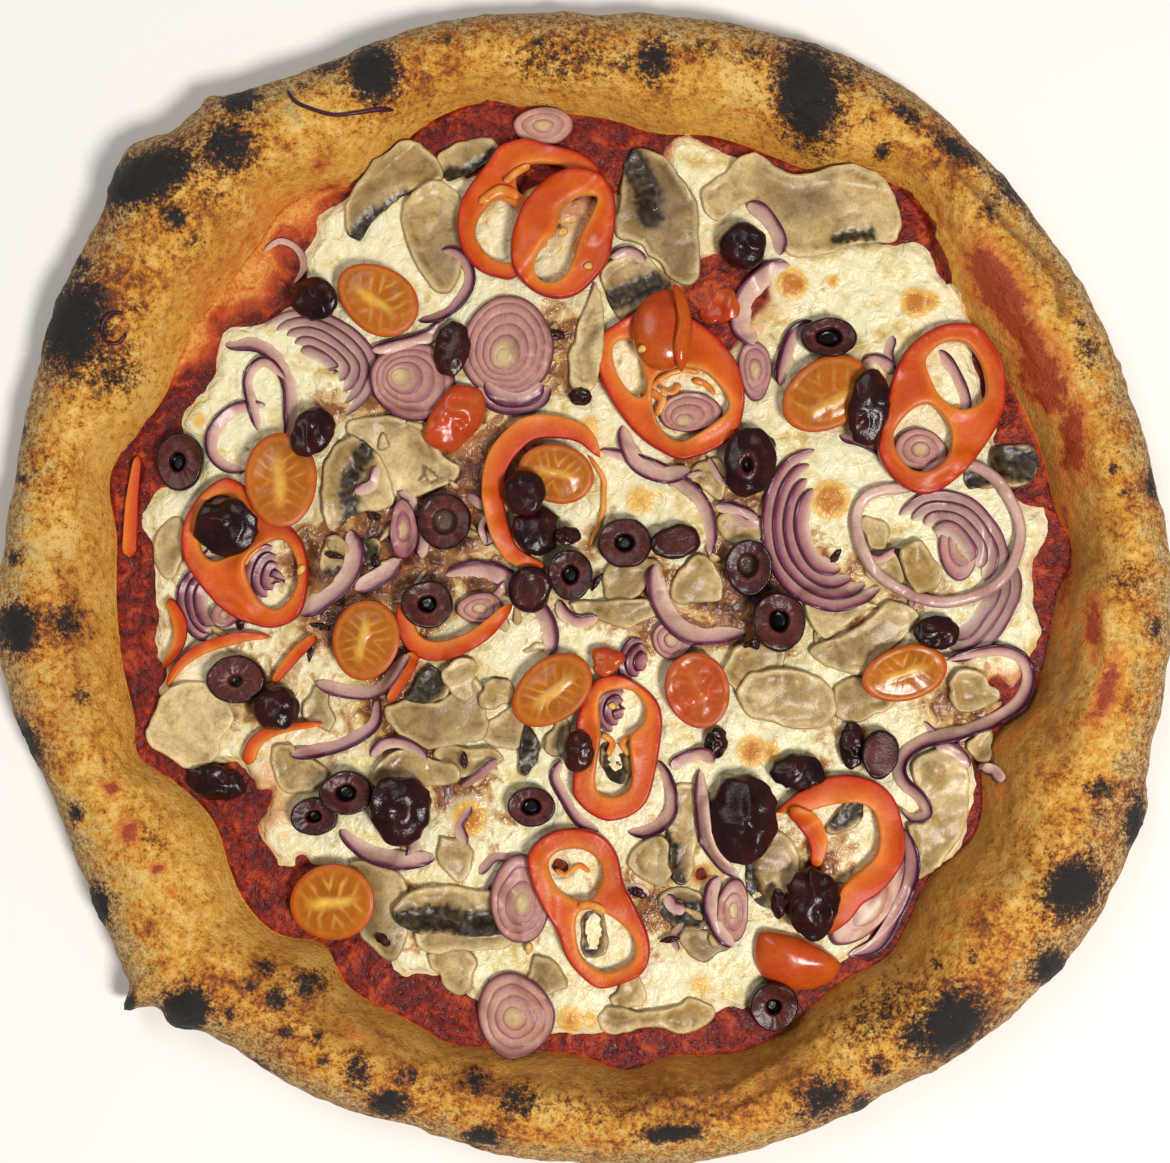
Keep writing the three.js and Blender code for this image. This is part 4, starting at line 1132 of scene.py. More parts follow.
# ---------------------------------------------------------------- toppings: a material that reads its paint
heaps = {name: Heap() for name in ("pepper", "tomato", "olive", "onion", "mushroom", "seed", "strand")}


def topping_look(name, wetness, grain_size, grain_depth, vary, under, fleck=None):
    """Paint from the mesh, made uneven by fine noise; wet places are smooth."""
    look = Look(name, 0.4, Specular_IOR_Level=wetness, **under)
    tint, wet = look.attribute("tint", True), look.attribute("wet")
    fine = look.noise(grain_size, 3, 0.6, 0.4)
    broad = look.noise(grain_size * 5, 3, 0.55, 0.6)
    tone = look.total((fine, 0.5), (broad, 0.5))
    shade = look.step(tone, 0.3, 0.7, 1.0 - vary, 1.0 + vary)
    grey = look.nodes.new("ShaderNodeCombineColor")
    for k in range(3):
        look.links.new(shade, grey.inputs[k])
    colour = look.mix(1.0, tint, grey.outputs["Color"], "MULTIPLY")
    if fleck:
        size, low, high, amount, shade_to = fleck
        colour = look.mix(look.step(look.noise(size, 4, 0.6), low, high, 0.0, amount), colour, rgb(*shade_to))
    look.set("Base Color", colour)
    look.set("Roughness", look.total(look.step(wet, 0.0, 1.0, 0.62, 0.14), (fine, 0.14)))
    look.bump(broad, grain_depth * 2.0, 0.6)
    look.bump(fine, grain_depth, 0.7)
    return look.material


def add(kind, points, faces, tint, wet, bendy=0.8, sink=0.4, softness=6):
    """Lays a piece on what is there and puts it with its kind.

    A bendy piece follows what is below it, and a stiff one lies straight. sink is how deep it sets in, and
    softness is how wide a bump below it has to be to bend it.
    """
    placed = lay(points, bendy, sink, softness)
    wet = np.broadcast_to(wet, len(points))
    heaps[kind].add(placed, faces, tint=np.clip(tint, 0, 1), wet=wet)
    return placed


# ---------------------------------------------------------------- bell pepper
PEPPER_SKIN = rgb(150, 18, 6)
PEPPER_EDGE = rgb(188, 44, 10)
PEPPER_FLESH = rgb(208, 86, 12)
PEPPER_INNER = rgb(222, 118, 30)
PEPPER_PALE = rgb(232, 168, 84)


def pepper_paint(slab, pale):
    """Dark skin outside, then flesh, and a paler side towards the holes; the lower side is painted dark as
    shade.
    """
    p = flat(slab.plan)
    tint = paint(len(p), PEPPER_FLESH)
    tint = blend(tint, PEPPER_EDGE, smoothstep(1.7, 0.7, slab.to_outer + 0.3 * noise(p, 5, 40)))
    inner = smoothstep(3.4, 0.3, slab.to_hole + 0.8 * noise(p, 3, 41)) * (0.8 + 0.5 * noise(p, 9, 42))
    tint = blend(tint, PEPPER_INNER, inner)
    tint = blend(tint, PEPPER_PALE, pale * smoothstep(1.2, 0.2, slab.to_hole))
    tint = blend(tint, PEPPER_SKIN, smoothstep(0.6, 0.15, slab.to_outer))
    tint = blend(tint, PEPPER_EDGE * 0.8, 0.35 * smoothstep(0.1, 0.6, noise(p, 11, 43)))
    # Painted shade: the lower side, underside included, is darkened with the skin's colour.
    return blend(tint, PEPPER_SKIN, ~slab.is_top * 0.7)


def pepper_ring(outer, holes, tall=4.6, pale=0.3):
    """A slice across a whole pepper, skin outside, with a hole for each of its chambers."""
    outer = outline_through(outer, 1.0)
    holes = [outline_through(hole, 1.0) for hole in holes]
    slab = Slab(outer, holes, tall, 0.75, 1.0)
    dip = -0.22 * smoothstep(0.6, 1.6, slab.to_outer) + 0.1 * noise(flat(slab.plan), 4, 44)
    add("pepper", slab.points(dip), slab.faces, pepper_paint(slab, pale), 0.6, bendy=0.5, sink=0.7)


def pepper_strip(path, widths, tall, skin_side, pale):
    """A piece of wall that lies on its cut edge; skin_side says which side of the path the skin is on."""
    line = line_through(path, 0.9)
    width = np.interp(np.linspace(0, 1, len(line)), np.linspace(0, 1, len(widths)), widths)
    points, faces, across, _ = band_shape(line, width, tall, round_section(20, 0.28), 0.0, 0.1)
    side = across * skin_side
    tint = paint(len(points), PEPPER_FLESH)
    tint = blend(tint, PEPPER_INNER, smoothstep(-0.1, -0.9, side + 0.3 * noise(points, 4, 45)) * 0.9)
    tint = blend(tint, PEPPER_EDGE, smoothstep(0.5, 0.85, side))
    tint = blend(tint, PEPPER_SKIN, smoothstep(0.85, 0.98, side))
    tint = blend(tint, PEPPER_PALE, pale * smoothstep(0.0, -0.9, side))
    add("pepper", points, faces, tint, 0.5)


def pepper_rib(path, width):
    """A pale soft wall between two chambers of a ring."""
    line = line_through(path, 0.7)
    points, faces, _, _ = band_shape(line, width, 1.6, round_section(8, 0.9), 0.0, 0.15)
    points[:, :2] += 0.3 * np.column_stack((noise(points, 2.5, 46), noise(points, 2.5, 47)))
    tint = blend(paint(len(points), PEPPER_PALE), PEPPER_INNER, 0.5 + 0.6 * noise(points, 2.5, 48))
    add("pepper", points, faces, tint, 0.8, bendy=0.9, sink=0.3, softness=3)


# Outlines in pixels, then looks.
PEPPER_RINGS = [
    dict(outer=[(525, 138), (500, 145), (485, 165), (470, 185), (460, 205), (457, 225), (460, 245),
        (468, 260), (480, 272), (495, 278), (512, 280), (525, 268), (533, 246), (545, 224), (562, 202),
        (586, 187), (600, 170), (580, 152), (545, 143)], holes=[[(500, 200), (484, 212), (476, 230),
        (480, 245), (495, 260), (512, 262), (522, 245), (520, 215)], [(520, 168), (545, 163), (566, 168),
        (572, 178), (560, 186), (535, 197), (518, 190)]], tall=4.2),
    dict(outer=[(577, 169), (600, 175), (612, 190), (616, 210), (614, 235), (608, 262), (595, 280),
        (578, 295), (560, 300), (540, 296), (522, 283), (512, 265), (511, 240), (517, 220), (528, 200),
        (545, 180), (560, 172)], holes=[[(575, 200), (588, 197), (597, 199), (592, 214), (582, 232),
        (572, 262), (563, 278), (548, 283), (538, 278), (535, 266), (545, 245), (556, 236), (560, 215)]],
        pale=0.5),
    dict(outer=[(593, 355), (597, 340), (612, 326), (640, 312), (668, 310), (692, 318), (715, 335),
        (735, 360), (744, 390), (743, 415), (735, 435), (720, 447), (700, 456), (680, 460), (660, 452),
        (640, 438), (620, 415), (605, 390)], holes=[[(613, 348), (625, 340), (638, 346), (641, 365),
        (646, 388), (640, 398), (628, 390), (616, 370)], [(655, 378), (675, 368), (702, 372), (722, 390),
        (728, 408), (715, 422), (690, 438), (675, 440), (660, 427), (652, 402)]], pale=0.5),
    dict(outer=[(950, 323), (975, 325), (990, 340), (1003, 365), (1006, 395), (1000, 420), (985, 445),
        (965, 470), (945, 487), (925, 495), (905, 490), (888, 475), (877, 455), (878, 435), (888, 390),
        (897, 365), (910, 345), (930, 330)], holes=[[(940, 345), (958, 342), (972, 350), (983, 370),
        (985, 395), (972, 407), (957, 409), (940, 397), (930, 378), (926, 360)], [(900, 422), (915, 408),
        (930, 406), (944, 420), (950, 437), (945, 457), (930, 470), (911, 470), (896, 453), (893, 436)]]),
    dict(outer=[(225, 478), (205, 490), (190, 510), (182, 535), (185, 560), (195, 577), (215, 602),
        (235, 617), (255, 625), (275, 628), (295, 620), (305, 605), (309, 580), (307, 555), (300, 537),
        (286, 522), (270, 515), (258, 498), (243, 484)], holes=[[(247, 562), (264, 545), (284, 541),
        (296, 560), (297, 582), (289, 600), (275, 609), (260, 600), (250, 582)], [(218, 496), (234, 500),
        (246, 518), (244, 540), (228, 556), (212, 560), (202, 548), (200, 525), (206, 505)]], tall=4.0,
        pale=0.2),
    dict(outer=[(589, 686), (608, 674), (630, 678), (654, 696), (662, 716), (661, 739), (656, 769),
        (648, 799), (632, 815), (608, 821), (589, 813), (577, 801), (572, 789), (574, 755), (577, 716)],
        holes=[[(604, 693), (620, 689), (635, 693), (645, 708), (642, 724), (630, 735), (630, 755),
        (630, 785), (614, 796), (597, 789), (597, 762), (601, 735), (599, 706)]]),
    dict(outer=[(573, 827), (600, 833), (617, 853), (624, 883), (636, 907), (648, 934), (650, 955),
        (643, 972), (624, 982), (600, 988), (581, 976), (565, 955), (556, 930), (541, 904), (530, 877),
        (529, 850), (549, 832)], holes=[[(549, 861), (562, 850), (584, 850), (600, 863), (601, 882),
        (589, 899), (568, 896), (554, 881)], [(579, 912), (595, 910), (612, 917), (632, 936), (634, 957),
        (622, 966), (603, 971), (583, 957), (576, 932)]], pale=0.4),
]
# Path, widths in pixels, height, side of the skin, and how pale the inside is.
PEPPER_STRIPS = [
    ([(600, 457), (583, 435), (555, 427), (530, 429), (512, 442), (498, 462), (493, 490), (497, 520),
        (507, 547), (522, 560), (545, 566)], (10, 18, 23, 25, 25, 23, 21, 20, 16, 11), 4.4, 1, 0.1),
    ([(776, 812), (805, 800), (835, 789), (862, 790), (882, 803), (890, 830), (888, 858), (872, 878),
        (852, 893), (838, 915), (828, 932)], (8, 22, 28, 26, 24, 24, 26, 28, 24, 12), 4.6, 1, 0.1),
    ([(403, 600), (405, 622), (414, 642), (432, 651), (456, 647), (484, 632), (512, 604)],
        (12, 18, 20, 18, 16, 10), 4.0, -1, 0.1),
    ([(416, 652), (406, 672), (389, 702)], (14, 13, 9), 3.2, 1, 0.2),
    ([(788, 808), (808, 822), (818, 842), (815, 868)], (12, 22, 18, 9), 3.0, -1, 0.1),
    ([(166, 686), (180, 665), (204, 648), (243, 637), (270, 637)], (6, 10, 12, 11, 5), 3.0, 1, 0.1),
    ([(168, 598), (180, 622), (178, 645), (163, 668)], (10, 15, 12, 7), 2.8, 1, 0.3),
    ([(316, 636), (300, 650), (284, 668), (273, 683)], (9, 12, 11, 7), 3.0, 1, 0.1),
    ([(247, 765), (256, 742), (280, 729), (323, 723)], (14, 13, 9, 5), 3.0, 1, 0.1),
    ([(137, 455), (131, 500), (128, 557)], (8, 13, 15), 2.6, 1, 0.1),
]
# Path and width of each soft wall inside a ring.
PEPPER_RIBS = [
    ([(480, 205), (500, 192), (520, 198)], 3.0), ([(505, 185), (515, 175), (530, 165)], 2.0),
    ([(592, 232), (576, 245), (584, 262)], 2.2), ([(548, 240), (534, 250), (530, 262)], 2.4),
    ([(560, 218), (548, 232), (540, 246)], 2.2), ([(588, 210), (598, 222), (590, 240)], 1.8),
    ([(648, 390), (662, 400), (656, 416)], 2.4), ([(640, 395), (672, 372), (700, 372)], 1.6),
    ([(660, 388), (672, 392), (680, 384)], 2.0), ([(692, 380), (705, 384), (716, 394)], 1.8),
    ([(934, 402), (945, 410), (962, 408)], 2.4), ([(925, 396), (915, 402), (898, 416)], 2.2),
    ([(588, 455), (603, 480), (602, 515), (590, 545)], 1.5), ([(262, 545), (250, 555), (244, 566)], 1.6),
    ([(600, 735), (612, 742), (608, 756)], 1.8), ([(632, 735), (622, 744), (630, 756)], 1.8),
    ([(578, 905), (592, 903), (608, 912)], 2.0), ([(556, 870), (566, 876), (578, 866), (590, 872)], 1.4),
]


# ---------------------------------------------------------------- cherry tomatoes
TOMATO_SKIN = rgb(190, 78, 18)
TOMATO_RIM = rgb(192, 86, 16)
TOMATO_FLESH = rgb(188, 104, 20)
TOMATO_JELLY = rgb(166, 90, 20)
TOMATO_CORE = rgb(240, 190, 80)
TOMATO_RED = rgb(186, 62, 28)


def tomato_profile(depth, dome):
    """From the cut face's middle, over its rim, down the skin."""
    rows = [(0.0, depth + dome)]
    for reach in np.linspace(0.0, 0.93, 26)[1:]:
        rows.append((reach, depth + dome * (1 - reach ** 2.4)))
    for angle in np.linspace(0, np.pi / 2, 5):
        rows.append((0.94 + 0.06 * np.sin(angle), depth - 0.7 * (1 - np.cos(angle))))
    for angle in np.linspace(0, np.pi / 2, 12)[1:]:
        reach = np.cos(angle) ** 0.6 if angle < 1.55 else 0.0
        rows.append((reach, (depth - 0.7) * (1 - np.sin(angle) ** 1.2)))
    return rows


def tomato_half(at, long, wide, turn, seed, rays, core=0.0, red=0.0, dome=0.9, depth=6.2, pale=1.0,
                egg=0.05):
    """Half a cherry tomato, cut side up: a rim of flesh, a pale core line with rays, and jelly between."""
    outline = oval(at, long, wide, turn, egg, 0.62)
    points, faces, reach, _, order = turned_shape(outline, tomato_profile(depth, dome))
    top = order <= 27
    u, v = (turned_by(points[:, :2] - outline.mean(0), -turn) / (long / 2, wide / 2)).T
    p = points + seed * 31.0
    wobble = 0.10 * noise(p, 5.0, 50)
    line = np.abs(v - core - wobble)
    spine = smoothstep(0.24, 0.0, line) * smoothstep(0.75, 0.2, np.abs(u))
    # Rays leave the core line on both sides, leaning towards the ends.
    lean = u - 0.45 * np.abs(v) * np.sign(u)
    comb = np.abs(((lean + 0.06 * noise(p, 3.0, 51)) * rays / 2) % 1.0 - 0.5) * 2
    ray = smoothstep(0.45, 0.05, comb) * smoothstep(0.05, 0.2, line) * smoothstep(0.95, 0.45, reach)
    ray *= 0.6 + 0.5 * noise(p, 4.0, 52)
    jelly = smoothstep(0.9, 0.74, reach) * (1 - 0.7 * spine)
    tint = paint(len(points), TOMATO_RIM)
    tint = blend(tint, TOMATO_FLESH, smoothstep(0.98, 0.84, reach))
    tint = blend(tint, TOMATO_JELLY, jelly * (0.55 + 0.5 * noise(p, 6.0, 53)))
    tint = blend(tint, TOMATO_CORE, (0.55 * ray) * pale)
    tint = blend(tint, TOMATO_CORE, (0.7 * spine) * pale)
    tint = blend(tint, TOMATO_SKIN, smoothstep(0.965, 0.995, reach))
    tint = blend(tint, TOMATO_RED, red * (0.75 + 0.4 * noise(p, 7.0, 54)))
    # The skin below the cut face, its own colour painted a fifth darker as shade.
    tint = blend(tint, TOMATO_SKIN * 0.8, ~top * 0.9)
    points[:, 2] += top * (0.16 * spine + 0.08 * ray - 0.3 * jelly + (0.16 + 0.5 * red) * noise(p, 2.6, 55))
    add("tomato", points, faces, tint, 0.55 + 0.3 * jelly, bendy=0.0, sink=1.1)


def tomato_back(outline, tall, red, folds=0.0, bendy=0.3, wet=0.95):
    """A tomato half with its skin up, or a lump of its flesh."""
    rows = [(0.0, tall)]
    for angle in np.linspace(0, np.pi / 2, 22)[1:]:
        rows.append((np.sin(angle), tall * (0.12 + 0.88 * np.cos(angle) ** 0.75)))
    rows += [(0.97, 0.25), (0.8, 0.0), (0.4, 0.0), (0.0, 0.0)]
    points, faces, reach, _, order = turned_shape(outline, rows)
    p = points.copy()
    top = order <= 22
    points[:, 2] += top * (1 - reach ** 4) * (0.35 * noise(p, 6, 56) + folds * noise(p, 2.6, 57))
    tint = blend(paint(len(points), TOMATO_SKIN), TOMATO_RED, red + 0.4 * noise(p, 6, 58))
    tint = blend(tint, TOMATO_FLESH, 0.35 * smoothstep(0.1, 0.7, noise(p, 5, 59)))
    add("tomato", points, faces, tint, wet, bendy, sink=0.8)


# Place, length, width, turn and looks of each half.
TOMATO_HALVES = [
    dict(at=(378, 300), long=24, wide=18, turn=-35, core=-0.1, rays=7, depth=6.0, egg=0.12),
    dict(at=(283, 481), long=26, wide=19.5, turn=92, rays=8, pale=0.9, core=0.05),
    dict(at=(367, 640), long=22, wide=18.5, turn=78, rays=8, core=0.1),
    dict(at=(552, 690), long=24.5, wide=17, turn=38, rays=8, depth=5.6),
    dict(at=(825, 395), long=26, wide=19, turn=32, rays=6, core=-0.25, pale=0.75),
    dict(at=(903, 673), long=24, wide=15, turn=14, rays=8, depth=5.4),
    dict(at=(333, 901), long=23.5, wide=21, turn=10, rays=6, core=0.0, pale=1.3),
    dict(at=(697, 690), long=21, wide=17.5, turn=106, rays=8, red=0.75, pale=0.5, dome=0.3),
    dict(at=(556, 474), long=21, wide=16, turn=-14, rays=8, depth=5.4, pale=0.8),
]


# ---------------------------------------------------------------- olives
OLIVE_SKIN = rgb(30, 10, 12)
OLIVE_BROWN = rgb(64, 24, 20)
OLIVE_CUT = rgb(94, 43, 38)
OLIVE_HOLE_SHADE = rgb(16, 5, 6)


def olive(at, long, wide, turn, seed, tall, hole=None, hole_size=0.3, wrinkle=0.25, brown=0.3, cut=0.0):
    """A whole or pitted olive; hole is where its pit came out, as parts of its half length and width."""
    outline = oval(at, long * MM_PER_PIXEL, wide * MM_PER_PIXEL, turn, 0.08, 0.62)
    rows = [(0.0, tall)]
    for angle in np.linspace(0, np.pi / 2, 18)[1:]:
        rows.append((np.sin(angle), tall * (0.5 + 0.5 * np.cos(angle) ** 0.8)))
    for angle in np.linspace(0, np.pi / 2, 9)[1:-1]:
        rows.append((np.cos(angle) ** 0.8, tall * 0.5 * (1 - np.sin(angle) ** 1.3)))
    rows += [(0.0, 0.0)]
    points, faces, reach, _, order = turned_shape(outline, rows)
    p = points + seed * 23.0
    top = order <= 18
    size = min(long, wide) * MM_PER_PIXEL
    folds = 1.6 * wrinkle * (1 - np.abs(noise(p, size * 0.3, 60)) * 2.4)
    folds += 0.6 * wrinkle * noise(p, size * 0.13, 61)
    middle = outline.mean(0)
    out = np.column_stack((points[:, :2] - middle, points[:, 2] - tall / 2))
    out /= np.linalg.norm(out, axis=1)[:, None] + 1e-6
    points = points + out * (folds * (1 - 0.6 * cut))[:, None]
    tint = blend(paint(len(points), OLIVE_SKIN), OLIVE_BROWN, brown + 0.5 * noise(p, size * 0.35, 62))
    if cut:
        face = smoothstep(0.86, 0.72, reach) * top
        flat_top = np.minimum(points[:, 2], tall * (1 - 0.25 * cut) + 0.1 * noise(p, 2, 63))
        points[:, 2] = np.where(top, flat_top, points[:, 2])
        tint = blend(tint, OLIVE_CUT, face * cut * (0.8 + 0.3 * noise(p, 2.5, 64)))
    if hole is not None:
        local = turned_by(points[:, :2] - middle, -turn) / (long * MM_PER_PIXEL / 2, wide * MM_PER_PIXEL / 2)
        away = np.hypot(*(local - hole).T)
        pit = smoothstep(hole_size, hole_size * 0.55, away) * top
        points[:, 2] -= pit * tall * 0.55
        # Painted shade: the pit hole is painted near black.
        tint = blend(tint, OLIVE_HOLE_SHADE, smoothstep(hole_size * 1.05, hole_size * 0.8, away) * top)
        rim = np.exp(-((away - hole_size * 1.25) / 0.12) ** 2) * top
        tint = blend(tint, OLIVE_CUT, 0.55 * rim)
        points[:, 2] += 0.25 * rim
    add("olive", points, faces, tint, 0.95 - 0.3 * cut, bendy=0.2, sink=1.2)


def olive_ring(at, long, wide, turn, seed, tall, hole, off=(0, 0), cut=0.8, pale=0.0):
    """An olive slice, cut face up: dark skin, a mauve-brown face with fine rays, and a deep hole painted near
    black as shade.
    """
    long, wide = long * MM_PER_PIXEL, wide * MM_PER_PIXEL
    outer = oval(at, long, wide, turn, 0.05, 0.5)
    outer = outer + 0.3 * np.column_stack((noise(flat(outer), 3.5, 65), noise(flat(outer), 3.5, 66)))
    centre = outer.mean(0)
    inner = centre + turned_by(np.array(off) * (long / 2, wide / 2), turn)
    rows = [(0.0, tall * 0.25)]
    rows += [(hole * part, tall * 0.25) for part in (0.4, 0.75)]
    rows += [(hole * (0.85 + 0.3 * part), tall * (0.25 + 0.65 * part ** 0.5))
             for part in (0.1, 0.3, 0.6, 1.0)]
    rows += [(hole * 1.15 + (0.86 - hole * 1.15) * part, tall * (0.9 + 0.06 * part))
             for part in (0.15, 0.3, 0.45, 0.6, 0.75, 0.9, 1.0)]
    rows += [(0.9, tall * 0.97), (0.94, tall * 0.96), (0.97, tall * 0.9), (1.0, tall * 0.72),
             (1.0, tall * 0.4), (0.95, tall * 0.15), (0.85, 0.0), (0.4, 0.0), (0.0, 0.0)]
    points, faces, reach, angle, order = turned_shape(outer, rows, inner)
    p = points + seed * 29.0
    top = order < 19
    face = top * smoothstep(0.95, 0.86, reach) * smoothstep(hole * 0.95, hole * 1.15, reach)
    rays = np.sin(angle * 13 + 5 * noise(p, 3.0, 67)) * 0.25 + noise(p, 1.8, 68) + 0.6 * noise(p, 4.0, 64)
    tint = paint(len(points), OLIVE_SKIN)
    tint = blend(tint, blend(paint(len(points), OLIVE_CUT), OLIVE_BROWN, 0.35 + 0.35 * rays), face * cut)
    ring = face * np.exp(-((reach - hole * 1.3) / 0.1) ** 2)
    tint = blend(tint, OLIVE_CUT * 1.5, 0.35 * ring)
    inside_hole = top * smoothstep(hole * 1.1, hole * 0.8, reach)
    # Painted shade: the hole is painted near black.
    tint = blend(tint, OLIVE_HOLE_SHADE, inside_hole)
    tint = blend(tint, rgb(124, 96, 76), inside_hole * pale)
    points[:, 2] += face * (0.14 * rays + 0.2 * noise(p, 3.5, 69))
    add("olive", points, faces, tint, 0.95 - 0.2 * face, bendy=0.25, sink=0.9)


# ---------------------------------------------------------------- red onion
ONION_PALE = rgb(226, 190, 168)
ONION_MAUVE = rgb(150, 88, 96)
ONION_CUT = rgb(204, 156, 130)
ONION_LINE = rgb(112, 44, 74)
ONION_DARK = rgb(60, 14, 38)
ONION_CORE = rgb(206, 182, 122)
ONION_CREAM = rgb(226, 208, 178)
DISC_THICKNESS = 2.2
LOOP_THICKNESS = 2.4
ARC_LEAN = 0.3
ARC_SHORTENING = 0.05              # how much shorter each next layer is at both ends


def onion_disc(outline, rings, core_at=None, dark=0.6, tone=0.0, core=ONION_CORE, line=0.75):
    """A slice across an onion: nested layers, each a low ridge, with purple skins between them."""
    tall = DISC_THICKNESS
    profile = [(0.0, tall)]
    fine = 9 * rings
    for reach in np.linspace(0, 1, fine)[1:]:
        edge = np.sqrt(max(0.0, 1 - max(0.0, (reach - 0.93) / 0.07) ** 2))
        profile.append((reach, tall * (0.45 + 0.55 * edge)))
    profile += [(0.985, 0.35), (0.9, 0.0), (0.5, 0.0), (0.0, 0.0)]
    centre = None if core_at is None else from_photo(core_at)
    points, faces, reach, angle, order = turned_shape(outline, profile, centre)
    top = order < fine
    p = points.copy()
    warped = reach * rings + (0.34 * noise(p, 10, 70) + 0.1 * noise(p, 3.5, 71)) * smoothstep(1.0, 0.8, reach)
    part = (warped + 0.02) % 1.0
    between = np.abs(part - 0.5) * 2
    groove = smoothstep(0.78, 0.99, between) * (reach > 0.5 / rings)
    fibre = noise(np.column_stack((angle * 14, reach * 6, 0 * reach)), 1.0, 79)
    mauve = 0.3 + 0.4 * tone + 0.7 * part ** 2 + 0.12 * fibre
    tint = blend(paint(len(points), ONION_CUT), ONION_MAUVE, mauve)
    tint = blend(tint, ONION_LINE, groove * line * (0.75 + 0.9 * noise(p, 6, 73)))
    tint = blend(tint, core, smoothstep(0.36, 0.1, reach) * 0.75)
    tint = blend(tint, ONION_LINE, dark * smoothstep(0.86, 0.96, reach))
    tint = blend(tint, ONION_DARK, dark * smoothstep(0.94, 1.0, reach + 0.02 * noise(p, 4, 74)))
    # The side is the dark skin; the underside is painted dark as shade.
    tint = blend(tint, ONION_DARK, ~top * 0.6)
    points[:, 2] += top * (1 - reach ** 8) * (0.3 * noise(p, 7, 72) + 0.16 * part - 0.2 * groove)
    add("onion", points, faces, tint, 0.6, bendy=0.85, sink=0.3)


# Across one layer, from its purple skin over its top to the thin inner side and back below.
ONION_SECTION = [
    (1.0, -0.1), (0.97, 0.6), (0.86, 0.95), (0.7, 1.0), (0.5, 0.95), (0.25, 0.8), (-0.1, 0.6), (-0.5, 0.35),
    (-0.85, 0.0), (-1.0, -0.5), (-0.9, -1.0), (0.9, -1.0),
]


def onion_section(edge_side):
    across, up = np.array(ONION_SECTION).T
    if edge_side < 0:
        return -across[::-1], up[::-1]
    return across, up


def onion_arc(path, width, tall=1.0, copies=1, gap=9.0, dark=0.9, tone=0.1, edge_side=1, taper=0.22,
              pale=ONION_PALE):
    """One layer of onion, or several that overlap like tiles; the purple skin is on edge_side of the path."""
    base = from_photo(path)
    # A single layer is thin and pale; layers in a stack overlap and are more purple.
    widening, purple = (1.5, 0.3) if copies == 1 else (1.85, 0.6)
    parts = []
    for k in range(copies):
        line = resample(spline(base, False), 0.75, False)
        if k:
            tangent = np.gradient(line, axis=0)
            tangent /= np.linalg.norm(tangent, axis=1)[:, None]
            side = np.column_stack((-tangent[:, 1], tangent[:, 0]))
            line = line - edge_side * side * (gap * k * MM_PER_PIXEL)
            cut = int(len(line) * ARC_SHORTENING * k)
            line = line[cut:len(line) - cut]
            line = resample(line, 0.75, False)
        wide = widening * width * MM_PER_PIXEL * (1 + 0.14 * noise(flat(line), 6, 75 + k))
        section, lean = onion_section(edge_side), ARC_LEAN * edge_side
        points, faces, across, along = band_shape(line, wide, tall, section, lean, taper)
        side = across * edge_side
        streak = noise(np.column_stack((side * 5, along * 5, 0 * side + k)), 1.0, 76)
        tint = blend(paint(len(points), pale), ONION_MAUVE, tone - 0.15 + 0.35 * streak)
        tint = blend(tint, ONION_MAUVE, (purple + 0.3 * dark) * smoothstep(-0.9, 0.4, side))
        start = 0.75 - 0.45 * dark
        tint = blend(tint, ONION_LINE, smoothstep(start, start + 0.28, side + 0.1 * streak))
        tint = blend(tint, ONION_DARK, min(dark, 1.0) * smoothstep(start + 0.22, start + 0.5, side))
        parts.append((points, faces, tint))
    points, faces, tint = join(parts)
    add("onion", points, faces, tint, 0.75, bendy=0.85, sink=0.35, softness=4)


def join(parts):
    """Several pieces as one; each part is its points, faces and colours."""
    faces = []
    count = 0
    for points, its_faces, _ in parts:
        faces += [tuple(i + count for i in face) for face in its_faces]
        count += len(points)
    return np.vstack([part[0] for part in parts]), faces, np.vstack([part[2] for part in parts])


def onion_loop(places, width):
    """A closed ring of one onion layer."""
    loop = outline_through(places, 0.9)
    tangent = np.roll(loop, -1, axis=0) - np.roll(loop, 1, axis=0)
    tangent /= np.linalg.norm(tangent, axis=1)[:, None]
    inner = loop + np.column_stack((-tangent[:, 1], tangent[:, 0])) * width * MM_PER_PIXEL
    slab = Slab(loop, [inner], LOOP_THICKNESS, 1.2, 0.9)
    p = flat(slab.plan)
    tint = blend(paint(len(p), ONION_PALE), ONION_MAUVE, 0.4 + 0.3 * noise(p, 6, 77))
    tint = blend(tint, ONION_LINE, 0.4 * smoothstep(0.9, 0.2, slab.to_outer))
    tint = blend(tint, ONION_LINE, 0.16 * smoothstep(0.6, 0.1, slab.to_hole))
    # Painted shade: the underside is darkened towards the purple line's colour.
    tint = blend(tint, ONION_LINE, ~slab.is_top * 0.4)
    relief = 0.25 * noise(p, 3, 78)
    add("onion", slab.points(relief), slab.faces, tint, 0.8, bendy=0.85, sink=0.2)


# ---------------------------------------------------------------- mushrooms
MUSHROOM_TAN = rgb(170, 136, 78)
MUSHROOM_PALE = rgb(212, 184, 130)
MUSHROOM_RIM = rgb(226, 202, 148)
MUSHROOM_GREY = rgb(132, 106, 70)
MUSHROOM_GILL = rgb(22, 15, 12)
MUSHROOM_BROWN = rgb(104, 68, 36)


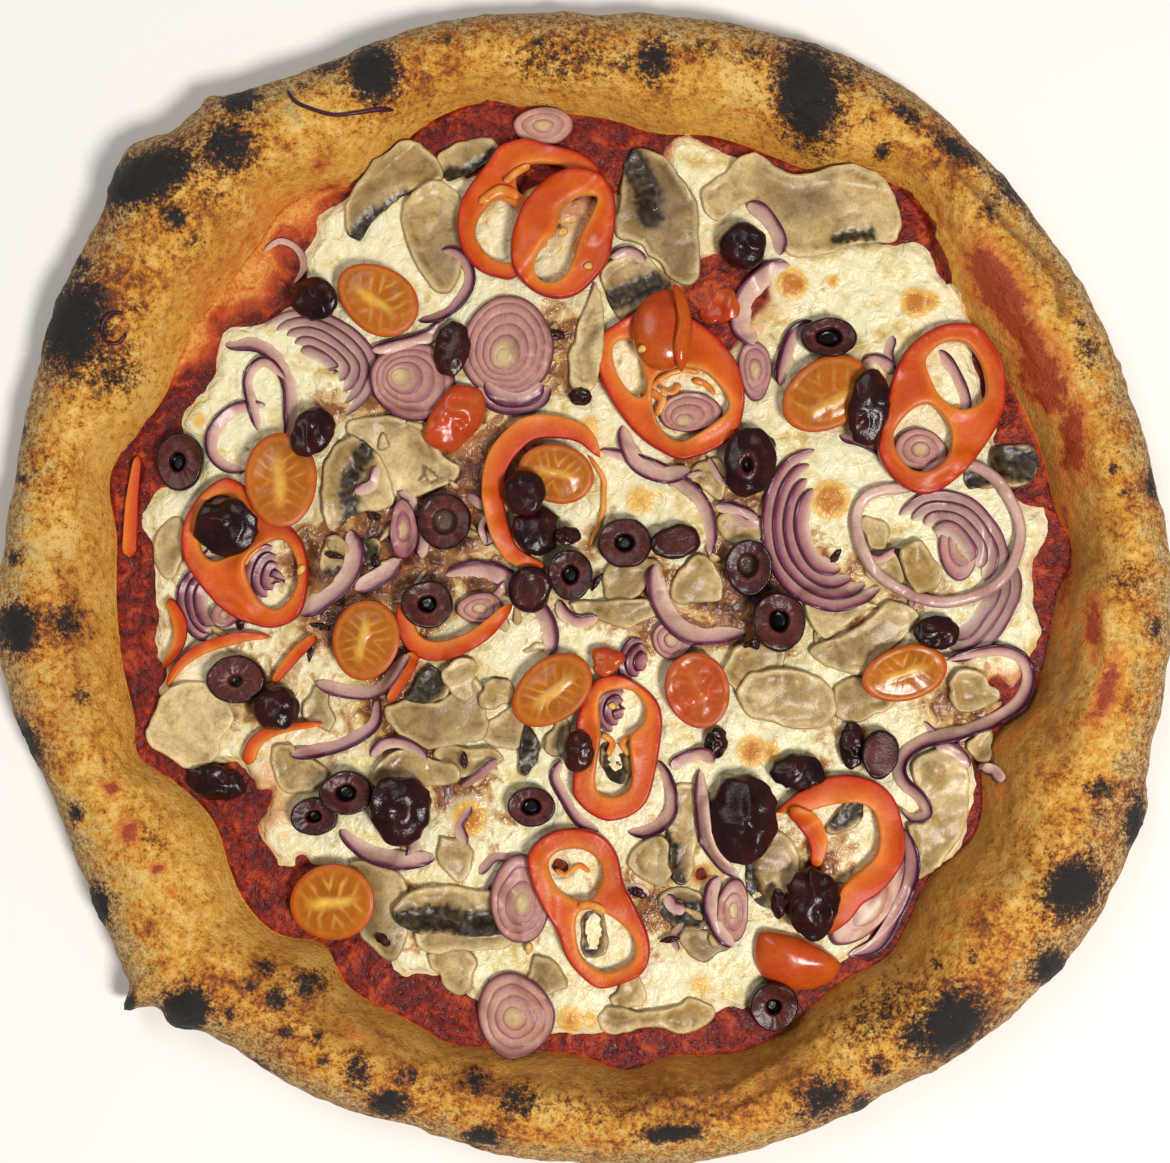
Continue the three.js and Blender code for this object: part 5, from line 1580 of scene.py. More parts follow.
def mushroom(outline, seed, gills=(), gill_width=14, tone=0.0, grey=0.0, rim=0.6, tall=2.8, edge_brown=0.0,
             wet=0.66):
    """A cooked slice. gills is a list of lines along which its dark gills run."""
    loop = outline_through(outline, 0.9)
    q = flat(loop) + seed * 19.0
    loop = loop + 0.75 * np.column_stack((noise(q, 5, 94), noise(q, 5, 95)))
    loop = loop + 0.35 * np.column_stack((noise(q, 2.2, 96), noise(q, 2.2, 97)))
    slab = Slab(loop, [], tall * 0.6, 0.7, 1.0)
    p = flat(slab.plan) + seed * 19.0
    depth = slab.to_outer + 0.5 * noise(p, 6, 79)
    tint = blend(paint(len(p), MUSHROOM_TAN), MUSHROOM_PALE, 0.3 + tone + 0.9 * fbm(p, 9, 3, 80))
    greyness = grey + 0.02 + 0.6 * fbm(p, 12, 3, 81) + 0.25 * smoothstep(2.0, 5.0, depth)
    tint = blend(tint, MUSHROOM_GREY, greyness)
    lip = np.exp(-((depth - 1.0) / 0.6) ** 2) * (0.8 + 0.7 * noise(p, 6, 76))
    tint = blend(tint, MUSHROOM_RIM, rim * lip)
    vein = smoothstep(0.12, 0.0, np.abs(noise(p, 7, 99) + 0.3 * noise(p, 2.5, 98)))
    vein = vein * smoothstep(0.6, 1.6, depth)
    tint = blend(tint, MUSHROOM_BROWN, 0.4 * vein)
    # Painted shade: a brown line in the groove of a fold, which the relief below presses down.
    fold = np.exp(-((depth - 2.6 - 0.9 * noise(p, 9, 78)) / 0.28) ** 2)
    fold = fold * smoothstep(-0.2, 0.3, noise(p, 10, 77))
    tint = blend(tint, MUSHROOM_BROWN, 0.55 * fold)
    shy = smoothstep(-0.5, 0.5, noise(p, 9, 92))
    tint = blend(tint, MUSHROOM_BROWN, (0.22 * shy + edge_brown) * smoothstep(0.5, 0.1, slab.to_outer))
    tint = blend(tint, MUSHROOM_BROWN, edge_brown * smoothstep(0.1, 0.7, noise(p, 7, 82)))
    relief = 0.7 * noise(p, 7, 83) + 0.35 * noise(p, 3.4, 84) - 0.4 * fold - 0.25 * vein
    for path in gills:
        line = line_through(path, 1.0)
        away = distance_to(slab.plan, line, False) + 0.7 * noise(p, 2.5, 85)
        half = 0.62 * gill_width * MM_PER_PIXEL
        nearest = np.argmin(((slab.plan[:, None] - line[None]) ** 2).sum(2), axis=1)
        comb = np.sin(nearest * 2.4 + 3 * noise(p, 2.0, 86))
        deep = smoothstep(half * 1.15, half * 0.85, away + 0.45 * comb)
        halo = smoothstep(half * 1.7, half * 1.0, away + 0.4 * comb)
        tint = blend(tint, MUSHROOM_GREY * 0.6, 0.6 * halo)
        tint = blend(tint, MUSHROOM_GILL, deep * (0.95 + 0.12 * comb))
        tint = blend(tint, MUSHROOM_GREY, deep * smoothstep(0.5, 1.0, comb) * 0.35)
        relief -= deep * (0.8 + 0.25 * comb)
    # Painted shade: the underside is greyed.
    tint = blend(tint, MUSHROOM_GREY, ~slab.is_top * 0.3)
    points = slab.points(relief)
    points[:, 2] += 1.3 * smoothstep(4.0, 0.2, slab.to_outer) * smoothstep(-0.1, 0.5, noise(p, 13, 93))
    add("mushroom", points, slab.faces, tint, wet, sink=0.5)


# ---------------------------------------------------------------- seeds and strands
SEED_COLOUR = rgb(222, 178, 92)
SEED_EDGE = rgb(150, 100, 40)


def seed(at, long, wide, turn):
    """A flat drop-shaped pepper seed."""
    outline = oval(at, long, wide, turn, 0.2, 0.35)
    rows = [(0.0, 0.9), (0.35, 0.86), (0.65, 0.72), (0.88, 0.5), (1.0, 0.3), (0.8, 0.08), (0.0, 0.0)]
    points, faces, reach, _, _ = turned_shape(outline, rows)
    tint = blend(paint(len(points), SEED_COLOUR), SEED_EDGE, smoothstep(0.7, 1.0, reach) * 0.7)
    add("seed", points, faces, tint, 0.6, bendy=0.2, sink=0.1, softness=2)


def strand(path, width):
    """A thin dark thread of dried onion skin."""
    line = line_through(path, 0.6)
    points, faces, _, _ = band_shape(line, width * MM_PER_PIXEL, 0.9, round_section(8, 1.0), 0.0, 0.08)
    tint = blend(paint(len(points), ONION_DARK), ONION_DARK * 1.8, 0.5 * noise(points, 3, 90))
    add("strand", points, faces, tint, 0.6, bendy=1.0, sink=0.15, softness=2)


# ---------------------------------------------------------------- every topping, with its layer
jobs = []


def piece(layer, make, *places, **looks):
    jobs.append((layer, len(jobs), make, places, looks))


def round_places(x, y, long, wide, turn=0, seed=0, uneven=0.16, count=11):
    """Pixels of a rounded, slightly uneven outline."""
    angle = 2 * np.pi * np.arange(count) / count
    reach = 1 + uneven * np.sin(2 * angle + seed) + uneven * np.sin(3 * angle + 2.3 * seed + 1)
    shape = np.column_stack((np.cos(angle) * long / 2 * reach, np.sin(angle) * wide / 2 * reach))
    return (np.array((x, y)) + turned_by(shape, turn) * (1, -1)).tolist()


# Layers: a lower number is laid first.
MUSHROOM, ONION, PEPPER, TOMATO, OLIVE, LAST = 1.0, 2.0, 3.0, 4.0, 5.0, 6.0
PEPPER_PIECE, PEPPER_WALL = 3.15, 3.05

# Mushroom slices: outline in pixels, then looks.
for layer, outline, looks in [
    (MUSHROOM, [(410, 140), (440, 160), (440, 180), (400, 200), (370, 225), (358, 240), (345, 230),
        (345, 205), (355, 185), (375, 165)], dict(gills=[[(352, 240), (372, 222), (404, 200)]], grey=0.2,
        gill_width=14)),
    (1.1, [(435, 180), (455, 190), (463, 215), (466, 245), (455, 285), (440, 295), (425, 280), (412, 255),
        (402, 230), (403, 205), (415, 188)], dict(tone=0.1)),
    (1.2, [(440, 150), (480, 135), (500, 145), (490, 160), (465, 175), (445, 180)], dict(gills=[[(440, 176),
        (470, 172), (492, 158)]])),
    (MUSHROOM, [(632, 150), (660, 155), (680, 175), (695, 200), (702, 255), (698, 275), (680, 285),
        (660, 265), (640, 245), (617, 235), (617, 210)], dict(gills=[[(632, 160), (645, 185), (650, 212)]],
        grey=0.35, gill_width=20, edge_brown=0.3)),
    (1.3, [(700, 195), (715, 178), (735, 162), (755, 152), (785, 170), (815, 173), (840, 168), (865, 168),
        (885, 182), (897, 200), (899, 240), (865, 242), (845, 245), (830, 255), (800, 257), (785, 252),
        (765, 215), (745, 205), (715, 222)], dict(tone=0.6, grey=-0.15, gills=[[(840, 238), (872, 232)]],
        gill_width=10, tall=3.2, rim=0.8)),
    (1.2, [(600, 275), (615, 258), (640, 252), (655, 265), (668, 285), (635, 310), (620, 320)],
        dict(gills=[[(612, 300), (632, 292), (652, 284)]], gill_width=18)),
    (3.2, [(595, 280), (585, 305), (575, 330), (568, 360), (570, 385), (590, 390), (600, 375), (605, 330)],
        dict(tone=0.2, rim=0.7)),
    (1.1, [(345, 425), (380, 415), (425, 420), (440, 452), (458, 465), (455, 480), (420, 495), (395, 500),
        (372, 470)], dict(tone=0.4, rim=0.8)),
    (1.2, [(355, 435), (375, 450), (388, 475), (395, 500), (385, 510), (360, 512), (335, 530), (325, 520),
        (320, 490), (322, 465), (335, 445)], dict(gills=[[(366, 450), (350, 482), (350, 520)]])),
    (1.1, round_places(335, 555, 34, 42, 20, 1), dict(gills=[[(322, 578), (340, 576)]])),
    (1.1, round_places(368, 552, 22, 30, 0, 2), dict(gills=[[(362, 545), (374, 560)]], gill_width=18)),
    (1.1, [(165, 520), (183, 520), (182, 560), (165, 580), (153, 560), (152, 540)], dict(tone=0.3)),
    (4.5, [(161, 696), (174, 686), (204, 683), (228, 702), (232, 720), (222, 740), (212, 761), (188, 772),
        (169, 761), (150, 750), (146, 734), (150, 720)], dict(tone=1.1, grey=-0.4, tall=3.6, rim=0.9,
        wet=0.6)),
    (1.2, round_places(295, 770, 54, 50, 0, 3), dict(tone=0.1, tall=3.0)),
    (1.1, round_places(318, 710, 36, 40, 0, 4), dict(grey=0.5)),
    (1.3, [(382, 708), (391, 728), (420, 747), (450, 745), (483, 739), (487, 712), (480, 680), (462, 676),
        (441, 699), (407, 699)], dict(tone=-0.3, grey=0.2, tall=3.4, rim=0.7)),
    (1.4, [(430, 665), (407, 699), (441, 699), (450, 684)], dict(gills=[[(432, 672), (422, 692)]],
        gill_width=26)),
    (1.45, round_places(460, 678, 42, 36, 20, 5), dict(tone=0.3)),
    (1.4, round_places(496, 693, 34, 34, 0, 6), dict(gills=[[(488, 670), (506, 674)]], gill_width=10)),
    (1.2, round_places(506, 731, 38, 44, 0, 7), dict(tone=0.1)),
    (1.2, round_places(466, 760, 60, 36, 0, 8), dict(tone=0.05, grey=0.1)),
    (1.2, round_places(411, 771, 82, 42, 8, 9), dict(tone=-0.2, wet=0.9, grey=0.1)),
    (1.2, [(418, 925), (450, 930), (507, 926), (508, 946), (470, 952), (430, 951), (416, 942)],
        dict(tone=0.4, rim=0.9)),
    (1.3, [(393, 910), (405, 892), (440, 886), (480, 888), (506, 902), (507, 930), (480, 936), (440, 932),
        (404, 928)], dict(tone=0.25, tall=3.2, gills=[[(402, 922), (440, 918), (478, 924), (504, 926)]],
        gill_width=20)),
    (1.0, [(350, 861), (380, 864), (405, 880), (410, 920), (400, 955), (385, 962), (362, 940), (345, 900)],
        dict(grey=0.6)),
    (1.1, round_places(454, 968, 54, 42, -20, 10), dict(grey=0.3)),
    (1.1, round_places(545, 977, 50, 34, -30, 11), dict(grey=0.5, tone=-0.2)),
    (1.2, [(598, 1019), (608, 1007), (643, 1011), (670, 1006), (691, 999), (713, 1006), (713, 1022),
        (691, 1035), (664, 1030), (638, 1032), (608, 1035)], dict(tone=0.25)),
    (1.1, round_places(630, 992, 38, 32, 10, 12), dict(tone=0.2)),
    (1.1, [(659, 895), (680, 888), (703, 896), (710, 915), (700, 930), (676, 928), (662, 915)],
        dict(grey=0.7, gills=[[(672, 912), (696, 914)]], gill_width=22)),
    (1.0, round_places(706, 944, 48, 34, -20, 13), dict(grey=0.6)),
    (1.2, [(750, 840), (770, 831), (795, 842), (799, 870), (786, 896), (765, 906), (748, 892), (745, 862)],
        dict(tone=0.0, gills=[[(750, 860), (750, 885), (758, 902)]], gill_width=12)),
    (1.3, [(735, 694), (748, 676), (775, 669), (808, 672), (830, 684), (837, 704), (828, 722), (800, 732),
        (770, 722), (748, 714)], dict(tone=0.1, tall=3.2, rim=0.9)),
    (1.2, round_places(863, 699, 62, 50, 10, 14), dict(tone=0.05)),
    (1.2, [(805, 595), (840, 600), (880, 603), (860, 615), (845, 625), (830, 640), (815, 630)],
        dict(tone=0.2)),
    (1.3, [(890, 600), (920, 615), (905, 635), (880, 660), (860, 675), (820, 665), (808, 650), (845, 632),
        (870, 615)], dict(tone=0.1, tall=3.0)),
    (2.6, [(900, 550), (920, 540), (940, 570), (935, 590), (915, 595), (905, 575)], dict(tone=0.2)),
    (1.2, round_places(886, 570, 36, 40, 0, 15), dict(tone=0.4)),
    (1.2, round_places(875, 532, 32, 34, 0, 16), dict(tone=0.3)),
    (1.2, round_places(972, 692, 56, 38, 10, 17), dict(tone=0.1)),
    (1.2, round_places(981, 745, 26, 32, 0, 18), dict(tone=0.1)),
    (1.3, [(935, 749), (961, 763), (971, 781), (969, 819), (961, 839), (943, 861), (920, 879), (914, 869),
        (908, 825), (926, 815), (911, 767)], dict(tone=0.15, tall=3.2, rim=0.8)),
    (1.3, [(570, 600), (600, 600), (650, 600), (660, 615), (630, 628), (600, 620), (580, 614)],
        dict(tone=0.2)),
    (1.2, round_places(630, 577, 60, 46, 0, 19), dict(tone=-0.1, grey=0.2)),
    (1.2, round_places(698, 582, 46, 54, 0, 20), dict(tone=-0.1, grey=0.1)),
    (1.2, round_places(848, 816, 46, 26, 40, 32), dict(tone=-0.2, grey=0.4, gills=[[(838, 822),
        (858, 808)]])),
    (1.2, round_places(710, 478, 32, 46, 10, 21), dict(tone=0.0)),
    (1.2, round_places(738, 530, 46, 30, 0, 22), dict(tone=0.0)),
    (1.2, round_places(758, 672, 76, 60, -20, 23), dict(tone=0.0)),
    (2.5, [(672, 790), (684, 781), (700, 790), (702, 820), (696, 850), (690, 880), (676, 882), (670, 850),
        (668, 820)], dict(tone=0.1, gills=[[(664, 842), (672, 850)], [(674, 868), (676, 882)]])),
    (1.2, round_places(650, 860, 48, 42, 20, 24), dict(tone=0.1)),
    (2.4, round_places(528, 751, 22, 44, 0, 25), dict(gills=[[(528, 735), (528, 768)]], gill_width=18)),
    (2.5, round_places(560, 739, 27, 42, 10, 26), dict(grey=0.5, rim=1.0, tone=0.3)),
    (1.2, round_places(455, 858, 30, 50, 10, 27), dict(tone=0.1)),
    (2.4, [(992, 452), (1010, 444), (1034, 446), (1040, 462), (1030, 482), (1010, 487), (994, 478)],
        dict(gills=[[(1004, 462), (1026, 464)]], gill_width=26, rim=1.0)),
    (2.3, round_places(978, 478, 30, 26, 0, 28), dict(gills=[[(972, 480), (986, 478)]], gill_width=14)),
    (2.9, [(602, 747), (612, 743), (628, 750), (628, 780), (612, 783), (602, 770)], dict(gills=[[(614, 750),
        (614, 776)]], gill_width=18, tall=2.0)),
    (2.9, [(586, 914), (600, 912), (606, 930), (606, 955), (590, 960), (580, 945)], dict(gills=[[(592, 922),
        (592, 948)]], gill_width=14, tall=2.0)),
]:
    piece(layer, mushroom, outline, seed=len(jobs), **looks)

# Onion slices cut across.
for layer, outline, looks in [
    (2.0, round_places(507, 347, 92, 104, 0, 1, 0.03), dict(rings=6, core_at=(503, 360), dark=0.5)),
    (2.1, round_places(413, 381, 84, 82, 0, 2, 0.03), dict(rings=5, core_at=(395, 376), dark=0.9,
        tone=0.2)),
    (2.0, round_places(515, 1015, 78, 86, 0, 3, 0.03), dict(rings=4, core_at=(513, 1019), tone=-0.3)),
    (2.0, round_places(520, 899, 60, 88, 0, 4, 0.03), dict(rings=4, core_at=(523, 904),
        core=rgb(196, 182, 120))),
    (2.0, round_places(543, 125, 62, 36, 0, 5, 0.03), dict(rings=3, tone=-0.5, dark=0.1)),
    (2.0, round_places(690, 412, 64, 40, 0, 6, 0.03), dict(rings=4, core_at=(680, 425))),
    (2.0, round_places(480, 608, 46, 32, 0, 7, 0.04), dict(rings=3)),
    (2.0, round_places(672, 640, 40, 40, 0, 8, 0.04), dict(rings=3)),
    (2.2, round_places(920, 450, 54, 44, 0, 9, 0.04), dict(rings=3)),
    (2.0, round_places(225, 522, 44, 60, 0, 10, 0.04), dict(rings=3)),
    (2.2, round_places(225, 615, 30, 24, 0, 11, 0.04), dict(rings=2)),
    (2.4, round_places(960, 545, 42, 72, 0, 13, 0.03), dict(rings=3)),
    (2.1, round_places(755, 370, 34, 60, 0, 16, 0.05), dict(rings=3, tone=0.2)),
    (2.2, round_places(404, 530, 30, 58, 0, 17, 0.05), dict(rings=2, tone=0.5)),
    (2.3, round_places(733, 910, 34, 62, 0, 18, 0.05), dict(rings=3, tone=-0.3, dark=0.8)),
    (2.6, [(834, 884), (862, 884), (890, 874), (900, 850), (906, 866), (902, 890), (888, 918), (866, 938),
        (842, 946), (830, 940), (828, 910)], dict(rings=2, core_at=(872, 915), tone=-1.2, dark=0.9,
        core=ONION_CREAM, line=0.2)),
]:
    piece(layer, onion_disc, outline_through(outline, 0.7), **looks)

# Onion layers seen along their edge: path, width in pixels, then looks.
for layer, path, width, looks in [
    (2.0, [(265, 325), (290, 316), (320, 318), (352, 336), (370, 362), (364, 392), (345, 415)], 8,
        dict(copies=5, gap=9, dark=0.5, edge_side=1, pale=ONION_CREAM)),
    (2.1, [(262, 250), (280, 240), (298, 250), (302, 268), (292, 282)], 5, dict(dark=0.2, tone=0.1)),
    (2.1, [(225, 345), (255, 343), (275, 355), (290, 385), (292, 420), (286, 438)], 12, dict(edge_side=-1)),
    (2.2, [(285, 378), (268, 362), (254, 366), (247, 382), (252, 405), (258, 430)], 7, dict(tone=0.0,
        dark=1.2, edge_side=-1)),
    (2.1, [(265, 405), (235, 410), (215, 430), (213, 450), (225, 465), (245, 470)], 10, dict(edge_side=-1)),
    (2.4, [(418, 320), (440, 315), (460, 300), (470, 280), (466, 262), (455, 252), (442, 250)], 8,
        dict(dark=1.5, tone=0.7, edge_side=-1)),
    (2.3, [(372, 350), (400, 345), (430, 335), (445, 320)], 9, dict(edge_side=1, dark=0.9)),
    (2.0, [(478, 388), (500, 404), (530, 404), (550, 388)], 10, dict(copies=2, gap=8, dark=0.9,
        edge_side=-1)),
    (2.1, [(623, 425), (628, 445), (640, 465), (665, 475), (690, 470)], 12, dict(edge_side=-1, dark=0.7)),
    (2.0, [(600, 450), (640, 462), (670, 475), (700, 500), (710, 530), (710, 555)], 10, dict(edge_side=1,
        dark=0.9)),
    (2.2, [(815, 450), (790, 465), (775, 495), (770, 530), (780, 565), (800, 590), (830, 602), (860, 598),
        (880, 588)], 10, dict(copies=4, gap=11, dark=0.8, tone=-0.1, edge_side=-1)),
    (2.4, [(900, 515), (930, 500), (965, 505), (990, 530), (1000, 560), (992, 590)], 10, dict(copies=4,
        gap=10, edge_side=1, dark=0.45, tone=-0.3, pale=ONION_CREAM)),
    (2.3, [(1015, 565), (1010, 600), (985, 640), (950, 660)], 10, dict(copies=3, gap=10, edge_side=1,
        dark=0.45, tone=-0.3, pale=ONION_CREAM)),
    (2.3, [(815, 322), (795, 335), (785, 360), (780, 385)], 12, dict(dark=1.4, edge_side=-1)),
    (2.3, [(840, 435), (862, 440), (890, 452)], 10, dict(dark=1.0, edge_side=-1)),
    (2.3, [(655, 565), (657, 590), (665, 610), (680, 628), (700, 635), (745, 632)], 14, dict(edge_side=-1,
        dark=0.8)),
    (2.3, [(445, 575), (480, 570), (510, 580), (535, 605), (550, 635), (548, 655)], 14, dict(edge_side=1)),
    (2.1, [(195, 570), (185, 595), (190, 620), (205, 640)], 9, dict(copies=3, gap=8, edge_side=-1)),
    (2.2, [(350, 530), (355, 555), (345, 580), (320, 600), (300, 615)], 14, dict(edge_side=1)),
    (2.3, [(400, 560), (382, 575), (355, 590)], 12, dict(edge_side=1)),
    (3.4, [(316, 683), (348, 691), (378, 690), (400, 665), (410, 654)], 10, dict(edge_side=-1, dark=0.7)),
    (3.3, [(291, 755), (338, 745), (372, 725), (378, 700)], 10, dict(edge_side=-1, dark=1.3, tone=0.5)),
    (3.3, [(370, 757), (382, 745), (400, 742), (420, 751), (427, 760)], 8, dict(edge_side=1, dark=0.9)),
    (2.3, [(340, 830), (365, 850), (400, 860), (435, 858)], 12, dict(edge_side=-1)),
    (2.5, [(561, 761), (555, 777), (565, 797), (579, 819), (599, 831)], 9, dict(edge_side=-1, dark=1.4)),
    (2.5, [(628, 832), (648, 831), (668, 817), (672, 797), (666, 777), (658, 761)], 9, dict(edge_side=-1,
        dark=1.4)),
    (5.5, [(670, 767), (690, 757), (705, 754), (713, 763)], 10, dict(edge_side=1, dark=0.8)),
    (5.6, [(700, 770), (701, 800), (706, 839), (720, 861), (738, 877)], 9, dict(edge_side=-1, dark=0.9)),
    (2.8, [(904, 829), (912, 859), (910, 885), (900, 908), (879, 945), (849, 957)], 10, dict(edge_side=1,
        dark=1.45, tone=0.6, taper=0.25)),
    (4.2, [(945, 660), (969, 654), (999, 650), (1019, 656), (1029, 670), (1029, 686), (1019, 704),
        (999, 718), (969, 730), (939, 737), (920, 743), (904, 755), (899, 769), (904, 783), (918, 795),
        (926, 807), (925, 815), (912, 818), (900, 809)], 9, dict(edge_side=1, dark=1.45, tall=2.2)),
    (2.4, [(935, 745), (955, 751), (969, 767)], 9, dict(edge_side=1)),
    (2.7, [(612, 732), (603, 716), (608, 698), (624, 692)], 8, dict(copies=3, gap=8, dark=0.9, tone=0.6)),
    (2.7, [(260, 604), (250, 584), (256, 560), (272, 546)], 9, dict(copies=4, gap=9, dark=0.9, tone=0.4)),
    (2.2, [(630, 680), (624, 664), (630, 648), (642, 640)], 8, dict(copies=3, gap=8, dark=1.0, tone=0.7)),
    (2.6, [(940, 350), (955, 375), (965, 400), (960, 415)], 9, dict(edge_side=1)),
    (2.3, [(719, 877), (711, 892), (711, 912), (719, 930), (733, 946)], 10, dict(edge_side=-1, dark=1.0)),
    (2.2, [(748, 203), (765, 215), (778, 235), (780, 255)], 10, dict(edge_side=1)),
    (2.2, [(790, 265), (765, 275), (745, 300), (742, 325), (755, 345)], 14, dict(edge_side=-1, dark=0.5)),
    (2.2, [(893, 335), (888, 352), (890, 370)], 8, {}),
    (2.2, [(862, 362), (880, 360), (895, 372)], 8, dict(edge_side=1)),
    (2.2, [(610, 257), (630, 252), (645, 262)], 8, dict(edge_side=1)),
    (3.3, [(715, 506), (736, 510), (757, 518)], 8, dict(dark=0.9)),
    (3.5, [(558, 600), (565, 615), (580, 622), (598, 617)], 9, dict(edge_side=1)),
    (2.9, [(461, 787), (480, 774), (497, 759)], 6, dict(dark=1.0, tone=0.8)),
]:
    piece(layer, onion_arc, path, width, **looks)

LOOP_OUTLINE = [
    (975, 460), (1002, 478), (1021, 508), (1026, 540), (1012, 576), (985, 598), (950, 608), (918, 604),
    (885, 588), (864, 568), (852, 540), (850, 515), (860, 494), (880, 484), (908, 480), (940, 458),
]
piece(2.45, onion_loop, LOOP_OUTLINE, 12)

# Bell pepper.
for ring, layer in zip(PEPPER_RINGS, (3.0, 3.3, 3.1, 3.1, 3.2, 3.1, 3.0)):
    piece(layer, pepper_ring, **ring)
for path, width, tall, skin_side, pale in PEPPER_STRIPS:
    piece(PEPPER_PIECE, pepper_strip, path, tuple(w * MM_PER_PIXEL for w in width), tall, skin_side, pale)
for path, width in PEPPER_RIBS:
    piece(PEPPER_WALL, pepper_rib, path, width)

# Cherry tomatoes.
for number, half in enumerate(TOMATO_HALVES):
    piece(TOMATO, tomato_half, seed=number, **half)
for outline, looks in [
    ([(757, 936), (766, 930), (790, 934), (812, 942), (840, 962), (836, 978), (815, 990), (785, 990),
        (762, 976), (754, 956)], dict(tall=6.5, red=0.4)),
    ([(455, 385), (480, 390), (486, 408), (480, 427), (465, 442), (452, 452), (434, 448), (423, 436),
        (430, 415), (440, 400)], dict(tall=5.0, red=0.8, folds=0.9, wet=0.8)),
    ([(650, 295), (672, 290), (688, 305), (692, 335), (684, 362), (664, 372), (642, 364), (632, 340),
        (636, 312)], dict(tall=7.0, red=0.5)),
    ([(672, 288), (684, 296), (690, 325), (689, 355), (680, 374), (672, 352), (676, 322)], dict(tall=3.0,
        red=0.0)),
    (round_places(607, 660, 38, 26, 0, 30), dict(tall=4.0, red=0.9)),
    (round_places(722, 306, 40, 34, 0, 31), dict(tall=1.2, red=0.9, folds=0.4, bendy=1.0)),
]:
    piece(TOMATO + 0.1, tomato_back, outline_through(outline, 0.62), **looks)

# Olives: place, length and width in pixels, turn, then looks.
for number, (shape, at, long, wide, turn, looks) in enumerate([
    (olive, (315, 300), 46, 42, 0, dict(tall=8)),
    (olive_ring, (180, 462), 58, 48, 90, dict(hole=0.32, off=(0, 0.15), tall=5.5, cut=0.8)),
    (olive, (229, 528), 62, 54, 0, dict(tall=8, wrinkle=0.5)),
    (olive_ring, (237, 679), 58, 48, 0, dict(hole=0.22, off=(0, -0.1), tall=5.5, cut=0.9, pale=0.3)),
    (olive, (277, 708), 45, 42, 0, dict(tall=8)),
    (olive, (742, 247), 46, 45, 0, dict(tall=8.5)),
    (olive_ring, (828, 338), 56, 39, 0, dict(hole=0.45, tall=5, cut=0.7)),
    (olive, (866, 410), 76, 40, 82, dict(tall=6, brown=0.5)),
    (olive, (749, 463), 66, 50, 80, dict(tall=8, wrinkle=0.5, hole=(-0.1, 0.1), hole_size=0.25)),
    (olive_ring, (445, 522), 56, 52, 90, dict(hole=0.42, tall=5, pale=0.5)),
    (olive, (537, 530), 48, 50, 0, dict(tall=8)),
    (olive, (524, 494), 42, 44, 0, dict(tall=7.5, brown=0.5)),
    (olive_ring, (570, 575), 50, 45, 90, dict(hole=0.36, tall=6, cut=0.5)),
    (olive_ring, (624, 543), 54, 50, 0, dict(hole=0.34, tall=5.5)),
    (olive, (675, 542), 50, 34, 10, dict(tall=6, cut=0.6)),
    (olive_ring, (748, 568), 57, 47, 90, dict(hole=0.4, off=(0.2, 0.1), tall=6, cut=0.45, pale=0.3)),
    (olive_ring, (778, 622), 60, 53, 90, dict(hole=0.36, off=(0.1, 0), tall=6, cut=0.8)),
    (olive_ring, (428, 604), 51, 48, 0, dict(hole=0.34, tall=6)),
    (olive, (530, 590), 46, 42, 80, dict(tall=6, cut=0.4)),
    (olive, (578, 751), 42, 30, 90, dict(tall=6, brown=0.8)),
    (olive_ring, (531, 806), 48, 40, 0, dict(hole=0.4, tall=5.5, cut=0.7)),
    (olive_ring, (315, 816), 47, 38, 0, dict(hole=0.3, tall=6, cut=0.4)),
    (olive_ring, (347, 792), 53, 44, 0, dict(hole=0.36, tall=5.5, cut=0.7)),
    (olive, (400, 809), 68, 60, 90, dict(tall=8.5, wrinkle=0.55)),
    (olive, (216, 783), 58, 32, -10, dict(tall=5, wrinkle=0.45)),
    (olive, (797, 771), 55, 35, 0, dict(tall=6.5)),
    (olive, (852, 746), 46, 26, 90, dict(tall=5)),
    (olive, (879, 754), 50, 37, 85, dict(tall=6, cut=0.9)),
    (olive, (742, 818), 86, 65, 88, dict(tall=10, wrinkle=0.62, brown=0.5)),
    (olive, (811, 903), 70, 52, 90, dict(tall=8.5, wrinkle=0.62)),
    (olive_ring, (773, 1006), 50, 48, 90, dict(hole=0.3, tall=6, cut=0.7)),
    (olive, (936, 632), 46, 32, 0, dict(tall=5.5)),
    (olive, (452, 350), 56, 34, 80, dict(tall=4.5, brown=0.8)),
    (olive, (314, 433), 52, 38, 60, dict(tall=6)),
    (olive, (568, 536), 24, 18, 0, dict(tall=4)),
    (olive, (716, 743), 30, 22, 80, dict(tall=4)),
    (olive, (777, 902), 28, 13, 90, dict(tall=3.5)),
    (olive, (580, 397), 22, 16, 0, dict(tall=3.5)),
]):
    piece(OLIVE, shape, at, long, wide, turn, seed=number, **looks)

